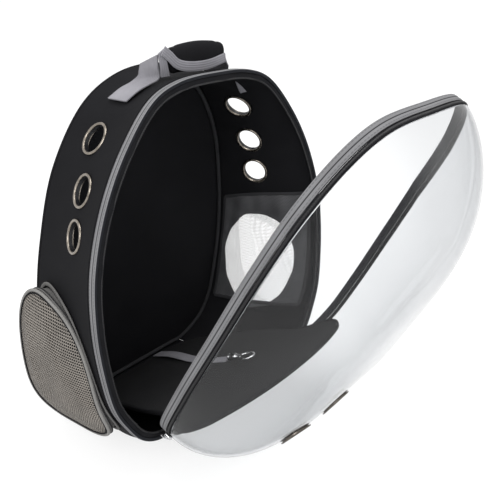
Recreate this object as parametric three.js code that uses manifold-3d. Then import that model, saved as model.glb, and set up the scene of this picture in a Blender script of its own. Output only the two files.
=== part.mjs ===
// A capsule backpack for carrying a small pet: a soft black body with a clear dome for its front,
// shown with the dome zipped open and tipped forward. Millimetres, +Z up, the open front faces -Y.
import * as THREE from 'three';
import { mergeVertices } from 'three/addons/utils/BufferGeometryUtils.js';
import Module from 'manifold-3d';

const wasm = await Module();
wasm.setup();

// Driving dimensions
const GAP = 0.4;
const CLOTH = 3;
const BASE_HALF = 80;
const BASE_RISE = 3;
const BASE_FLAT = 60;
const RIM_LEAN = 7.4;
const RIM_BASE = 45;
const RIM_BASE_HALF = 95;
const BOW = { depth: 0.34, fade: 110 };
const WALL_DEPTHS = [0, 0.14, 0.34, 0.67, 1];
const BACK_Y = 171;
const BACK_LEAN = -3.9;
const BACK_PAD = 4;
const BACK_BULGE = 6;
const SIDE_SAG = 5;
const RING_Y = -13.9;
const RING_Z = 72.5;
const RING_LEAN = -24.75;
const BINDING_WIDTH = 8;
const BINDING_THICK = 3.5;
const RIM_TAPE = { width: 6, thick: 1.6, front: 3 };
const RING_BINDING_WIDTH = 9;
const RING_TAPE_WIDTH = 4.5;
const DOME = { depth: 98, wall: 2, centre: 198, drop: 24, rise: 1.57, round: 3.4, inset: 1.2 };
const SEAM_RADIUS = 2.4;
const EYELET = { outer: 17, hole: 14.1, barrel: 15.1, rim: 1.5, clear: 0.35 };
const WINDOW = { y: 98, z: 128, halfY: 50, halfZ: 68 };
const POCKET = { run: 145, halfRun: 63, depth: 0.475, halfDepth: 0.435, tilt: 41, square: 3.3, foot: 0.95 };
const POCKET_WALL = { thick: 1.5, seat: 1.25 };
const POCKET_FACE = { reach: 0.97, stand: 20, flare: 9, fall: 8.5, bulge: 13 };
const POCKET_FACE_RINGS = [1, 0.82, 0.5, 0];
const POCKET_ZIP = { up: 0.7, half: 1.8, thick: 1.2 };
const POCKET_BINDING = { reach: 1.005, half: 2, thick: 1.2, crown: 2 };
const INNER_MESH = { from: 82, to: 236, margin: 9, thick: 1, clear: 1.35 };
const MAT = { y: 161.5, z: 4.3, pitch: 23.85, thick: 4, binding: 3, proud: 0.5 };
const HINGE_CLOTH = { from: 0.895, thick: 2 };
const GRIP = { y: 76, z: 414.5, length: 80, tall: 26, thick: 13, bow: 3 };
const GRIP_TRIM = { width: 9, thick: 1.2, low: 5 };
const WEBBING = { width: 34, thick: 1.6, lie: 2.1 };
const STRAP = { width: 62, thick: 11, webbing: 25 };
const TETHER = { width: 15, thick: 1.5 };
const CLIP = { wire: 1.6, ring: 8, barrel: 4, length: 33 };
const INNER_TAB = { x: 84, depth: 0.3, width: 26, drop: 8, thick: 1.2, clear: 1.1 };
const SLIDER = { turn: 0.875, length: 11, width: 8, thick: 3.2, pull: 20, pullWidth: 5, pullThick: 1.4 };

// Half widths of the three outlines, up the height of each one's own plane
const RIM_ROWS = [
  { height: RIM_BASE, half: 0 }, { height: RIM_BASE, half: BASE_FLAT }, { height: RIM_BASE, half: RIM_BASE_HALF },
  { height: 50, half: 130 }, { height: 62, half: 149 }, { height: 84, half: 164 }, { height: 110, half: 176 },
  { height: 150, half: 182.5 }, { height: 198, half: 184 }, { height: 250, half: 177 }, { height: 304, half: 156 },
  { height: 350, half: 125 }, { height: 387, half: 86 }, { height: 399, half: 52 }, { height: 402, half: 0 },
];
const BACK_ROWS = [
  { height: 0, half: 0 }, { height: 0, half: BASE_FLAT }, { height: 0, half: BASE_HALF },
  { height: 20, half: 119 }, { height: 50, half: 138 }, { height: 110, half: 147 },
  { height: 170, half: 148 }, { height: 230, half: 141 }, { height: 305, half: 122 },
  { height: 364, half: 84 }, { height: 387, half: 45 }, { height: 394, half: 0 },
];
const RING_ROWS = [
  { height: 0, half: 0 }, { height: 0, half: 110 }, { height: 9, half: 132 }, { height: 33, half: 152 },
  { height: 88, half: 156 }, { height: 166, half: 150 }, { height: 244, half: 143 },
  { height: 304, half: 130 }, { height: 346, half: 105 }, { height: 366, half: 74 }, { height: 371, half: 0 },
];
// The mat runs up its own plane from the back seam, through the rim, into the dome
const MAT_ROWS = [
  { height: 0, half: 0 }, { height: 0, half: 52 }, { height: 12, half: 73 }, { height: 34, half: 91 },
  { height: 69, half: 103 }, { height: 121, half: 112 }, { height: 165, half: 114 },
  { height: 186, half: 113 }, { height: 198, half: 123 }, { height: 210, half: 137 },
  { height: 224, half: 138 }, { height: 238, half: 124 }, { height: 249, half: 90 },
  { height: 256, half: 45 }, { height: 258, half: 0 },
];
// The handle's webbing, from the grip's end down to the wall and along it
const HANDLE_FALL = [
  { out: 0, back: 6, drop: 0 }, { out: 2.5, back: 11, drop: 7 }, { out: 6, back: 16, drop: 13.5 },
];
const HANDLE_FOOT = [
  { x: 53, back: 20, lift: 3.5 }, { x: 60, back: 19.5, lift: 0.6 }, { x: 70, back: 20, lift: 0 },
  { x: 81, back: 22.5, lift: 0 },
];
// The side eyelets, by height and share of the wall's depth
const EYELET_ROWS = [
  { name: 'right_1', height: 256, depth: 0.56 }, { name: 'left_1', height: 263, depth: 0.4 },
  { name: 'right_2', height: 299, depth: 0.56 }, { name: 'left_2', height: 303, depth: 0.42 },
  { name: 'right_3', height: 345, depth: 0.54 }, { name: 'left_3', height: 344, depth: 0.55 },
];
// The handle's trim, by its place along the grip and its rise above the trim's lowest line
const TRIM_ROWS = [
  { x: -52, up: 17 }, { x: -43, up: 11 }, { x: -34, up: 4 }, { x: -23, up: 0.5 }, { x: -4, up: -1.5 },
  { x: 14, up: -1 }, { x: 37, up: 3 },
];
// The dome's air holes, by their place round the ring and the share of the dome's depth
const VENT_ROWS = [
  { name: 'right', turn: -0.06, depth: 0.972 }, { name: 'left', turn: -0.106, depth: 0.91 },
];
// The tether on the mat, by its place across and up the mat
const TETHER_ROWS = [
  { x: 24, height: 6, lift: 0 }, { x: 20, height: 40, lift: 2 }, { x: 10, height: 100, lift: 0 },
  { x: 15, height: 148, lift: 0 },
];
// The shoulder straps and their webbing, by height, with the gap behind the back panel
const STRAP_ROWS = [
  { x: 46, height: 358, gap: -4.4 }, { x: 52, height: 300, gap: 16 }, { x: 60, height: 220, gap: 26 },
  { x: 72, height: 150, gap: 20 },
];
const STRAP_WEB_ROWS = [
  { x: 73, height: 148.6, gap: 25.5 }, { x: 84, height: 108.5, gap: 12 }, { x: 96, height: 64.5, gap: 4 },
  { x: 100, height: 48.5, gap: -3 },
];

const v = (x, y, z) => new THREE.Vector3(x, y, z);
const rad = THREE.MathUtils.degToRad;
const lerp = THREE.MathUtils.lerp;

const FABRIC = { color: 0x1a1a1c, roughness: 0.75, metalness: 0 };
const GREY = { color: 0x8d8d8f, roughness: 0.7, metalness: 0 };
const TAPE = { color: 0x2a2a2c, roughness: 0.7, metalness: 0 };
const MESH = { color: 0x77777a, roughness: 0.8, metalness: 0 };
const WEB = { color: 0xb4b4bc, roughness: 0.75, metalness: 0 };
const NICKEL = { color: 0xb9aea0, roughness: 0.28, metalness: 1 };
const STEEL = { color: 0xc8c8ca, roughness: 0.25, metalness: 1 };
const CLEAR = { color: 0xf2f5f6, roughness: 0.08, metalness: 0 };

const part = new THREE.Group();

function add(name, geometry, material) {
  const mesh = new THREE.Mesh(geometry, new THREE.MeshStandardMaterial(material));
  mesh.name = name;
  part.add(mesh);
  return mesh;
}

// A closed solid from points and triangles, turned so that its faces point outwards
function solid(points, triangles) {
  const flat = new THREE.BufferGeometry().setFromPoints(points);
  flat.setIndex(triangles.flat());
  const welded = mergeVertices(flat, 1e-4);
  const index = welded.index.array;
  const corner = (k) => new THREE.Vector3().fromBufferAttribute(welded.attributes.position, index[k]);
  const kept = [];
  let volume = 0;
  for (let k = 0; k < index.length; k += 3) {
    const [a, b, c] = [index[k], index[k + 1], index[k + 2]];
    if (a === b || b === c || c === a) continue;
    kept.push([a, b, c]);
    volume += corner(k).dot(corner(k + 1).cross(corner(k + 2)));
  }
  welded.setIndex(kept.map(([a, b, c]) => (volume < 0 ? [a, c, b] : [a, b, c])).flat());
  return welded;
}

// A tube of rings of points, each ring closed; the tube closes on itself or has flat ends
function loft(rings, closed) {
  const sides = rings[0].length;
  const triangles = [];
  const last = closed ? rings.length : rings.length - 1;
  for (let i = 0; i < last; i += 1) {
    const next = (i + 1) % rings.length;
    for (let j = 0; j < sides; j += 1) {
      const k = (j + 1) % sides;
      triangles.push([i * sides + j, next * sides + j, next * sides + k]);
      triangles.push([i * sides + j, next * sides + k, i * sides + k]);
    }
  }
  if (!closed) {
    const top = (rings.length - 1) * sides;
    for (let j = 1; j < sides - 1; j += 1) {
      triangles.push([0, j, j + 1]);
      triangles.push([top, top + j + 1, top + j]);
    }
  }
  return solid(rings.flat(), triangles);
}

// A sheet between two grids of points, with walls along its open edges
function slab(front, rear, closedRound) {
  const rows = front.length;
  const cols = front[0].length;
  const points = [...front.flat(), ...rear.flat()];
  const half = rows * cols;
  const at = (i, j) => (i % rows) * cols + j;
  const triangles = [];
  const quad = (a, b, c, d) => triangles.push([a, b, c], [a, c, d]);
  const last = closedRound ? rows : rows - 1;
  for (let i = 0; i < last; i += 1) {
    for (let j = 0; j < cols - 1; j += 1) {
      quad(at(i, j), at(i + 1, j), at(i + 1, j + 1), at(i, j + 1));
      quad(half + at(i, j + 1), half + at(i + 1, j + 1), half + at(i + 1, j), half + at(i, j));
    }
    quad(at(i + 1, 0), at(i, 0), half + at(i, 0), half + at(i + 1, 0));
    quad(at(i, cols - 1), at(i + 1, cols - 1), half + at(i + 1, cols - 1), half + at(i, cols - 1));
  }
  for (let j = 0; j < cols - 1 && !closedRound; j += 1) {
    quad(at(0, j), at(0, j + 1), half + at(0, j + 1), half + at(0, j));
    quad(at(rows - 1, j + 1), at(rows - 1, j), half + at(rows - 1, j), half + at(rows - 1, j + 1));
  }
  return solid(points, triangles);
}

function toManifold(geometry) {
  const bare = geometry.clone();
  bare.deleteAttribute('normal');
  bare.deleteAttribute('uv');
  const welded = mergeVertices(bare, 1e-4);
  const vertProperties = new Float32Array(welded.attributes.position.array);
  const triVerts = new Uint32Array(welded.index.array);
  return new wasm.Manifold(new wasm.Mesh({ numProp: 3, vertProperties, triVerts }));
}

function fromManifold(body) {
  const mesh = body.getMesh();
  const geometry = new THREE.BufferGeometry();
  geometry.setAttribute('position', new THREE.BufferAttribute(new Float32Array(mesh.vertProperties), 3));
  geometry.setIndex(new THREE.BufferAttribute(new Uint32Array(mesh.triVerts), 1));
  return geometry;
}

function cut(geometry, tools) {
  return fromManifold(tools.reduce((body, tool) => body.subtract(toManifold(tool)), toManifold(geometry)));
}

function fuse(geometries) {
  return fromManifold(geometries.map(toManifold).reduce((body, other) => body.add(other)));
}

// A plane across the bag: height runs up its lean and depth runs out of its front face
function plane(y, z, leanDegrees) {
  const lean = rad(leanDegrees);
  const up = v(0, Math.sin(lean), Math.cos(lean));
  const front = v(0, -Math.cos(lean), Math.sin(lean));
  const at = (x, height, depth) => v(x, y, z).addScaledVector(up, height).addScaledVector(front, depth);
  return { up, front, at };
}

function smoothCurve(points, closed) {
  const curve = new THREE.CatmullRomCurve3(points, closed, 'centripetal');
  curve.arcLengthDivisions = 800;
  return curve;
}

// The whole loop of an outline, from the middle of its base round by the +X side
function loopOf(rows) {
  const right = rows.map((row) => v(row.half, row.height, 0));
  const left = rows.slice(1, -1).reverse().map((row) => v(-row.half, row.height, 0));
  return smoothCurve([...right, ...left], true);
}

// The same outline without its flat base, from one end of the base over the top to the other
function archOf(rows) {
  const right = rows.slice(2).map((row) => v(row.half, row.height, 0));
  const left = rows.slice(2, -1).reverse().map((row) => v(-row.half, row.height, 0));
  return smoothCurve([...right, ...left], false);
}

// Places along a loop in its plane: the point, the outward direction and the plane's front
function loopFrames(bed, curve, steps, from = 0, to = 1) {
  const closed = to - from >= 1;
  const count = closed ? steps : steps + 1;
  return Array.from({ length: count }, (_, i) => {
    const t = (((from + ((to - from) * i) / steps) % 1) + 1) % 1;
    const point = curve.getPointAt(t);
    const tangent = curve.getTangentAt(t);
    const out = v(tangent.y, 0, 0).addScaledVector(bed.up, -tangent.x);
    return { point: bed.at(point.x, point.y, 0), out, front: bed.front };
  });
}

// A section swept along frames; its points are measured outwards and to the front
function sweep(frames, section, closed) {
  const rings = frames.map(({ point, out, front }) =>
    section.map(([a, b]) => point.clone().addScaledVector(out, a).addScaledVector(front, b)));
  return loft(rings, closed);
}

const box2 = (a0, a1, b0, b1) => [[a0, b0], [a1, b0], [a1, b1], [a0, b1]];

// A folded-over edge band: flat inside, rounded outside
const bandSection = (thick, b0, b1) => {
  const round = (b1 - b0) / 4;
  return [[-thick, b0], [-thick, b1], [0, b1 - round], [0, b0 + round]];
};

const discSection = (radius, sides) => Array.from({ length: sides }, (_, k) => {
  const turn = (2 * Math.PI * k) / sides;
  return [radius * Math.cos(turn), radius * Math.sin(turn)];
});

const rimPlane = plane(0, BASE_RISE, RIM_LEAN);
const backPlane = plane(BACK_Y, BASE_RISE, BACK_LEAN);
const ringPlane = plane(RING_Y, RING_Z, RING_LEAN);
const matPlane = plane(MAT.y, MAT.z, MAT.pitch - 90);
const rimLoop = loopOf(RIM_ROWS);
const backLoop = loopOf(BACK_ROWS);
const ringLoop = loopOf(RING_ROWS);
const matLoop = loopOf(MAT_ROWS);
const rimArch = archOf(RIM_ROWS);
const backArch = archOf(BACK_ROWS);
const archLength = rimArch.getLength();
const halfBinding = BINDING_WIDTH / 2;
const wallFront = RIM_BASE * Math.sin(rad(RIM_LEAN)) + halfBinding + 3 * GAP;

// The share of the rim's base height at which the bottom's bow lies, from the rim to the back
const bowRise = (depth) => Math.max(0, 1 - depth / BOW.depth) ** 2;

// The side wall's outer face: run goes round the arch and depth from the rim to the back.
// Near its ends it hangs down to the bottom's bow.
function wallPoint(run, depth) {
  const a = rimArch.getPointAt(run);
  const b = backArch.getPointAt(run);
  const front = rimPlane.at(a.x, a.y, -halfBinding - 3 * GAP);
  const rear = backPlane.at(b.x, b.y, 2 * GAP);
  const tangent = rimArch.getTangentAt(run);
  const out = v(tangent.y, 0, -tangent.x);
  const nearEnd = Math.min(run, 1 - run);
  const sag = 4 * SIDE_SAG * Math.min(1, 8 * nearEnd) * depth * (1 - depth);
  const low = Math.max(0, 1 - (nearEnd * archLength) / BOW.fade) ** 2;
  const droop = RIM_BASE * (1 - depth - bowRise(depth)) * low;
  return front.lerp(rear, depth).addScaledVector(out, -sag).add(v(0, 0, -droop));
}

function wallNormal(run, depth) {
  const e = 1e-3;
  const along = wallPoint(Math.min(1, run + e), depth).sub(wallPoint(Math.max(0, run - e), depth));
  const across = wallPoint(run, Math.min(1, depth + e)).sub(wallPoint(run, Math.max(0, depth - e)));
  return across.cross(along).normalize();
}

const wallAt = (run, depth, lift) => wallPoint(run, depth).addScaledVector(wallNormal(run, depth), lift);

function grid(rows, cols, at) {
  const row = (i) => Array.from({ length: cols + 1 }, (_, j) => at(i / rows, j / cols));
  return Array.from({ length: rows + 1 }, (_, i) => row(i));
}

// The run round the right side at which the wall's middle reaches a height
function runAtHeight(height, depth) {
  let low = 0;
  let high = 0.5;
  for (let k = 0; k < 40; k += 1) {
    const mid = (low + high) / 2;
    if (wallPoint(mid, depth).z < height) low = mid;
    else high = mid;
  }
  return low;
}

// Eyelets: a rolled metal ring through the wall, and the seat cut for it
const spin = (profile, sides) => solidLathe(profile.map(([r, z]) => new THREE.Vector2(r, z)), sides);

function solidLathe(profile, sides) {
  const lathe = new THREE.LatheGeometry([...profile, profile[0]], sides);
  lathe.deleteAttribute('normal');
  lathe.deleteAttribute('uv');
  const index = Array.from(lathe.index.array);
  const points = Array.from({ length: lathe.attributes.position.count }, (_, k) =>
    new THREE.Vector3().fromBufferAttribute(lathe.attributes.position, k));
  const triangles = Array.from({ length: index.length / 3 }, (_, k) => index.slice(3 * k, 3 * k + 3));
  return solid(points, triangles);
}

function eyeletProfile(wall) {
  const { outer, hole, barrel, rim } = EYELET;
  const lip = wall / 2 + GAP;
  return [
    [hole, -lip - rim], [outer, -lip], [barrel, -lip], [barrel, lip], [outer, lip], [hole, lip + rim],
  ];
}

const plugProfile = (wall) => {
  const { outer, barrel, rim, clear } = EYELET;
  const lip = wall / 2 + GAP - clear;
  const far = lip + 2 * rim + 3;
  return [
    [0, -far], [outer + clear, -far], [outer + clear, -lip], [barrel + clear, -lip],
    [barrel + clear, lip], [outer + clear, lip], [outer + clear, far], [0, far],
  ];
};

function facing(geometry, centre, normal) {
  const turn = new THREE.Quaternion().setFromUnitVectors(v(0, 1, 0), normal.clone().normalize());
  return geometry.applyQuaternion(turn).translate(centre.x, centre.y, centre.z);
}

const EYELET_SIDES = 12;

// The bottom, whose front rises in a bow to the rim, and the back
function bottomPanel() {
  const rear = BACK_Y - GAP - 0.6;
  const steps = WALL_DEPTHS.length - 1;
  const sheet = (lift) => grid(steps, 1, (i, j) => {
    const depth = WALL_DEPTHS[Math.round(i * steps)];
    const y = lerp(wallFront + 1, rear, depth);
    const half = lerp(RIM_BASE_HALF, BASE_HALF, depth) - 3.5 * GAP;
    return v(lerp(-half, half, j), y, RIM_BASE * bowRise(depth) + lift);
  });
  return slab(sheet(CLOTH), sheet(0), false);
}

function backPanel() {
  const steps = 48;
  const rings = [1, 0.65, 0];
  const middle = 190;
  const face = (depth) => Array.from({ length: steps }, (_, i) => rings.map((r) => {
    const p = backLoop.getPointAt(i / steps);
    return backPlane.at(p.x * r, Math.max(middle + (p.y - middle) * r, -BASE_RISE), depth(r));
  }));
  return slab(face(() => 0), face((r) => -BACK_PAD - BACK_BULGE * (1 - r * r)), true);
}

function sideEyelets() {
  const seats = [];
  const wallMiddle = -CLOTH / 2;
  EYELET_ROWS.forEach(({ name, height, depth }) => {
    const right = runAtHeight(height, depth);
    const run = name.startsWith('right') ? right : 1 - right;
    const centre = wallAt(run, depth, wallMiddle);
    const normal = wallNormal(run, depth);
    seats.push(facing(spin(plugProfile(CLOTH), EYELET_SIDES), centre, normal));
    add(`eyelet_${name}`, facing(spin(eyeletProfile(CLOTH), EYELET_SIDES), centre, normal), NICKEL);
  });
  return seats;
}

function windowTools() {
  const reach = 400;
  const tool = new THREE.CylinderGeometry(1, 1, reach, 24);
  tool.rotateZ(Math.PI / 2).scale(1, WINDOW.halfY, WINDOW.halfZ).translate(0, WINDOW.y, WINDOW.z);
  return [tool];
}

function gusset(tools) {
  const steps = WALL_DEPTHS.length - 1;
  const wall = (lift) => grid(42, steps, (run, j) => wallAt(run, WALL_DEPTHS[Math.round(j * steps)], lift));
  return cut(slab(wall(0), wall(-CLOTH), false), tools);
}

// The mesh lining of the lower sides
function innerMesh(side) {
  const sheet = (lift) => grid(10, 3, (i, j) => {
    const run = lerp(INNER_MESH.from, INNER_MESH.to, i) / archLength;
    const span = wallPoint(run, 0).distanceTo(wallPoint(run, 1));
    const depth = lerp(INNER_MESH.margin / span, 1 - INNER_MESH.margin / span, j);
    return wallAt(side > 0 ? run : 1 - run, depth, lift);
  });
  const top = -CLOTH - INNER_MESH.clear;
  return slab(sheet(top), sheet(top - INNER_MESH.thick), false);
}

// A side pocket: a pod whose side stands on the wall and whose bulging face lies along the bag's side
const POCKET_STEPS = 24;
const turnOf = (i) => (2 * Math.PI * i) / POCKET_STEPS;
const roundSquare = (value) => Math.sign(value) * Math.abs(value) ** (2 / POCKET.square);

// The pocket's place on the wall, at a share of the way from its middle to its edge; its back is higher
function pocketSeat(side, turn, reach) {
  const back = reach * roundSquare(Math.cos(turn));
  const up = reach * roundSquare(Math.sin(turn));
  const run = (POCKET.run + POCKET.halfRun * up + POCKET.tilt * back) / archLength;
  const depth = POCKET.depth + POCKET.halfDepth * back;
  return [side > 0 ? run : 1 - run, depth];
}

// The face stands off the wall, most at its back and foot, and bulges to its middle
function pocketFace(side, turn, reach, lift) {
  const { stand, flare, fall, bulge } = POCKET_FACE;
  const seat = wallAt(...pocketSeat(side, turn, reach * POCKET_FACE.reach), POCKET_WALL.seat);
  const lean = reach * (flare * Math.cos(turn) - fall * Math.sin(turn));
  const off = stand + lean + bulge * (1 - reach ** 2.2) + lift;
  return seat.add(v(side * off, 0, 0));
}

function pocketPod(side) {
  const shell = (inset) => Array.from({ length: POCKET_STEPS }, (_, i) => {
    const turn = turnOf(i);
    const inwards = v(0, -Math.cos(turn), -Math.sin(turn)).multiplyScalar(inset);
    const foot = wallAt(...pocketSeat(side, turn, POCKET.foot), POCKET_WALL.seat).add(inwards);
    const face = POCKET_FACE_RINGS.map((reach) =>
      pocketFace(side, turn, reach, -inset).addScaledVector(inwards, reach));
    return [foot, ...face];
  });
  return slab(shell(0), shell(POCKET_WALL.thick), true);
}

// Frames round the pod's side: out of it, and up from the wall to the face
function podFrames(side, up) {
  return Array.from({ length: POCKET_STEPS }, (_, i) => {
    const turn = turnOf(i);
    const foot = wallAt(...pocketSeat(side, turn, POCKET.foot), POCKET_WALL.seat);
    const edge = pocketFace(side, turn, 1, 0);
    const front = edge.clone().sub(foot).normalize();
    const round = pocketFace(side, turn + 0.05, 1, 0).sub(pocketFace(side, turn - 0.05, 1, 0));
    const out = round.cross(front).normalize().multiplyScalar(side);
    return { point: foot.lerp(edge, up), out, front };
  });
}

function seatFrames(side, reach) {
  const place = (i) => wallAt(...pocketSeat(side, turnOf(i), reach), POCKET_WALL.seat);
  return Array.from({ length: POCKET_STEPS }, (_, i) => {
    const front = wallNormal(...pocketSeat(side, turnOf(i), reach));
    const tangent = place(i + 1).sub(place(i - 1)).normalize();
    const out = tangent.cross(front).normalize().multiplyScalar(side);
    return { point: place(i), out, front };
  });
}

function pocket(side, name) {
  add(`pocket_mesh_${name}`, pocketPod(side), MESH);
  const zip = box2(GAP, GAP + POCKET_ZIP.thick, -POCKET_ZIP.half, POCKET_ZIP.half);
  add(`pocket_zip_${name}`, sweep(podFrames(side, POCKET_ZIP.up), zip, true), TAPE);
  const { reach, half, thick, crown } = POCKET_BINDING;
  const band = [[-half, 0], [half, 0], [half, thick], [0, crown], [-half, thick]];
  add(`pocket_binding_${name}`, sweep(seatFrames(side, reach), band, true), GREY);
}

// The rim round the open front
function rim() {
  const frames = loopFrames(rimPlane, rimLoop, 56);
  add('rim_binding', sweep(frames, bandSection(BINDING_THICK, -halfBinding, halfBinding), true), GREY);
  const start = -BINDING_THICK - GAP;
  const { width, thick, front } = RIM_TAPE;
  add('rim_tape', sweep(frames, box2(start - width, start, front - thick, front), true), TAPE);
}

function backSeam() {
  const inset = -CLOTH - 5 * GAP - SEAM_RADIUS;
  const depth = 2 * GAP + SEAM_RADIUS;
  const section = discSection(SEAM_RADIUS, 5).map(([a, b]) => [a + inset, b + depth]);
  return sweep(loopFrames(backPlane, backLoop, 44), section, true);
}

// The dome: a clear shell that shrinks towards its crown, on a banded and taped ring
function domePoint(turn, depth, lift) {
  const shrink = Math.max(0, 1 - depth ** DOME.rise) ** (1 / DOME.round);
  const p = ringLoop.getPointAt(((turn % 1) + 1) % 1);
  const tangent = ringLoop.getTangentAt(((turn % 1) + 1) % 1);
  const x = p.x + (lift - DOME.inset) * tangent.y;
  const h = p.y - (lift - DOME.inset) * tangent.x;
  const start = RING_BINDING_WIDTH / 2 + RING_TAPE_WIDTH + 2 * GAP;
  const height = DOME.centre - DOME.drop * depth + (h - DOME.centre) * shrink;
  return ringPlane.at(x * shrink, height, start + (DOME.depth - start) * depth + lift * (1 - shrink));
}

function domeShell(tools) {
  const steps = 40;
  const depths = [0, 0.2, 0.42, 0.62, 0.79, 0.92, 1];
  const face = (lift) => Array.from({ length: steps }, (_, i) =>
    depths.map((d) => domePoint(i / steps, d, lift)));
  return cut(slab(face(0), face(-DOME.wall), true), tools);
}

function dome() {
  const seats = [];
  VENT_ROWS.forEach(({ name, turn, depth }) => {
    const along = domePoint(turn + 0.01, depth, 0).sub(domePoint(turn - 0.01, depth, 0));
    const out = domePoint(turn, depth + 0.02, 0).sub(domePoint(turn, depth - 0.02, 0));
    const normal = out.cross(along).normalize();
    const inwards = Math.sign(normal.z) * (DOME.wall / 2);
    const centre = domePoint(turn, depth, 0).addScaledVector(normal, inwards);
    seats.push(facing(spin(plugProfile(DOME.wall), EYELET_SIDES), centre, normal));
    add(`dome_vent_${name}`, facing(spin(eyeletProfile(DOME.wall), EYELET_SIDES), centre, normal), NICKEL);
  });
  add('dome_shell', domeShell(seats), CLEAR);
  const frames = loopFrames(ringPlane, ringLoop, 56);
  const half = RING_BINDING_WIDTH / 2;
  add('dome_binding', sweep(frames, bandSection(BINDING_THICK, -half, half), true), GREY);
  const tape = box2(-BINDING_THICK + 0.5, -0.6, half + GAP, half + GAP + RING_TAPE_WIDTH);
  add('dome_tape', sweep(frames, tape, true), TAPE);
}

// The cloth lip that carries the dome: from the rim's base up to the ring's base
function hingeCloth() {
  const from = HINGE_CLOTH.from - 1;
  const steps = 16;
  const turnAt = (i) => (((lerp(from, -from, i) % 1) + 1) % 1);
  const edge = (bed, loop, turn, inset, depth) => {
    const p = loop.getPointAt(turn);
    const tangent = loop.getTangentAt(turn);
    return bed.at(p.x - inset * tangent.y, p.y + inset * tangent.x, depth);
  };
  const sheet = (shift) => grid(steps, 3, (i, j) => {
    const turn = turnAt(i);
    const low = edge(rimPlane, rimLoop, turn, 3, halfBinding + GAP + 0.2 + shift);
    const high = edge(ringPlane, ringLoop, turn, -1.5 * GAP, shift - HINGE_CLOTH.thick / 2);
    return low.lerp(high, j);
  });
  return slab(sheet(HINGE_CLOTH.thick), sheet(0), false);
}

// The floor mat, lifted at its front by the dome's ring
function mat() {
  const steps = 44;
  const middle = 120;
  const inset = MAT.binding + GAP;
  const face = (depth) => Array.from({ length: steps }, (_, i) => [1, 0].map((r) => {
    const p = matLoop.getPointAt(i / steps);
    const tangent = matLoop.getTangentAt(i / steps);
    const x = (p.x - inset * tangent.y) * r;
    const h = middle + (p.y + inset * tangent.x - middle) * r;
    return matPlane.at(x, h, depth);
  }));
  add('floor_mat', slab(face(-MAT.thick), face(0), true), { ...FABRIC, color: 0x29292b });
  const edge = box2(-MAT.binding, 0, -MAT.thick - MAT.proud, MAT.proud);
  add('mat_binding', sweep(loopFrames(matPlane, matLoop, steps), edge, true), FABRIC);
}

// A flat strap along points, with its width along a given direction
function ribbon(points, widthAlong, width, thick, steps) {
  const curve = smoothCurve(points, false);
  const rings = Array.from({ length: steps + 1 }, (_, i) => {
    const p = curve.getPointAt(i / steps);
    const tangent = curve.getTangentAt(i / steps);
    const across = widthAlong.clone().addScaledVector(tangent, -widthAlong.dot(tangent)).normalize();
    const lift = tangent.clone().cross(across);
    return box2(-width / 2, width / 2, -thick / 2, thick / 2).map(([a, b]) =>
      p.clone().addScaledVector(across, a).addScaledVector(lift, b));
  });
  return loft(rings, false);
}

// The tether lies on the mat from the back seam to its snap hook
function tether() {
  const on = (x, height, lift) => matPlane.at(x, height, -MAT.thick - lift);
  const lie = GAP + TETHER.thick / 2;
  const path = TETHER_ROWS.map(({ x, height, lift }) => on(x, height, lie + lift));
  add('tether_strap', ribbon(path, v(1, 0, 0), TETHER.width, TETHER.thick, 10), WEB);
  const last = TETHER_ROWS[TETHER_ROWS.length - 1];
  const clipLift = GAP + CLIP.barrel;
  const end = on(last.x, last.height + 2 * GAP, clipLift);
  const axis = on(last.x + 4, last.height + 32, clipLift).sub(end).normalize();
  const neck = 0.6 * CLIP.barrel;
  const barrel = spin([[0, 0], [CLIP.barrel, 0], [CLIP.barrel, 12], [neck, 15], [neck, 20], [0, 20]], 8);
  const body = facing(barrel, end.clone(), axis);
  const side = v(0, 0, 1).cross(axis).normalize();
  const face = axis.clone().cross(side);
  const ring = new THREE.TorusGeometry(CLIP.ring, CLIP.wire, 6, 14);
  ring.applyMatrix4(new THREE.Matrix4().makeBasis(axis, side, face));
  ring.translate(...end.clone().addScaledVector(axis, CLIP.length - 6).toArray());
  add('tether_clip', fuse([body, ring]), STEEL);
}

// The top handle: a padded grip on webbing that is sewn to the wall
function handle() {
  const { y, z, length, tall, thick, bow } = GRIP;
  const shape = new THREE.Shape();
  const r = thick / 2;
  shape.absarc(0, tall / 2 - r, r, 0, Math.PI, false);
  shape.absarc(0, -tall / 2 + r, r, Math.PI, 2 * Math.PI, false);
  const outline = shape.getPoints(5).slice(0, -1);
  const end = length / 2;
  const bend = smoothCurve([v(-end, y, z - bow), v(0, y, z), v(end, y, z - bow)], false);
  const steps = 8;
  const rings = Array.from({ length: steps + 1 }, (_, i) => {
    const p = bend.getPointAt(i / steps);
    return outline.map((q) => v(p.x, p.y + q.x, p.z + q.y));
  });
  add('handle_grip', loft(rings, false), FABRIC);
  const edgeY = y - r - GAP - GRIP_TRIM.thick / 2;
  const low = z - tall / 2 + GRIP_TRIM.low;
  const dip = TRIM_ROWS.map(({ x, up }) => v(x, edgeY, low + up));
  add('handle_trim', ribbon(dip, v(0, 0, 1), GRIP_TRIM.width, GRIP_TRIM.thick, 14), WEB);
  [['left', -1], ['right', 1]].forEach(([name, side]) => {
    const runOf = (run) => (side > 0 ? run : 1 - run);
    const fall = HANDLE_FALL.map(({ out, back, drop }) =>
      v((end + 3 * GAP + out) * side, y + back, z - bow - drop));
    const foot = HANDLE_FOOT.map(({ x, back, lift }) => {
      const run = runOverTop(x, y + back);
      return wallAt(runOf(run), depthAt(run, y + back), WEBBING.thick / 2 + WEBBING.lie + lift);
    });
    const footRun = runOf(runOverTop(HANDLE_FOOT[1].x, y));
    const across = wallPoint(footRun, 1).sub(wallPoint(footRun, 0));
    add(`handle_strap_${name}`, ribbon([...fall, ...foot], across, WEBBING.width, WEBBING.thick, 12), WEB);
  });
}

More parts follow.
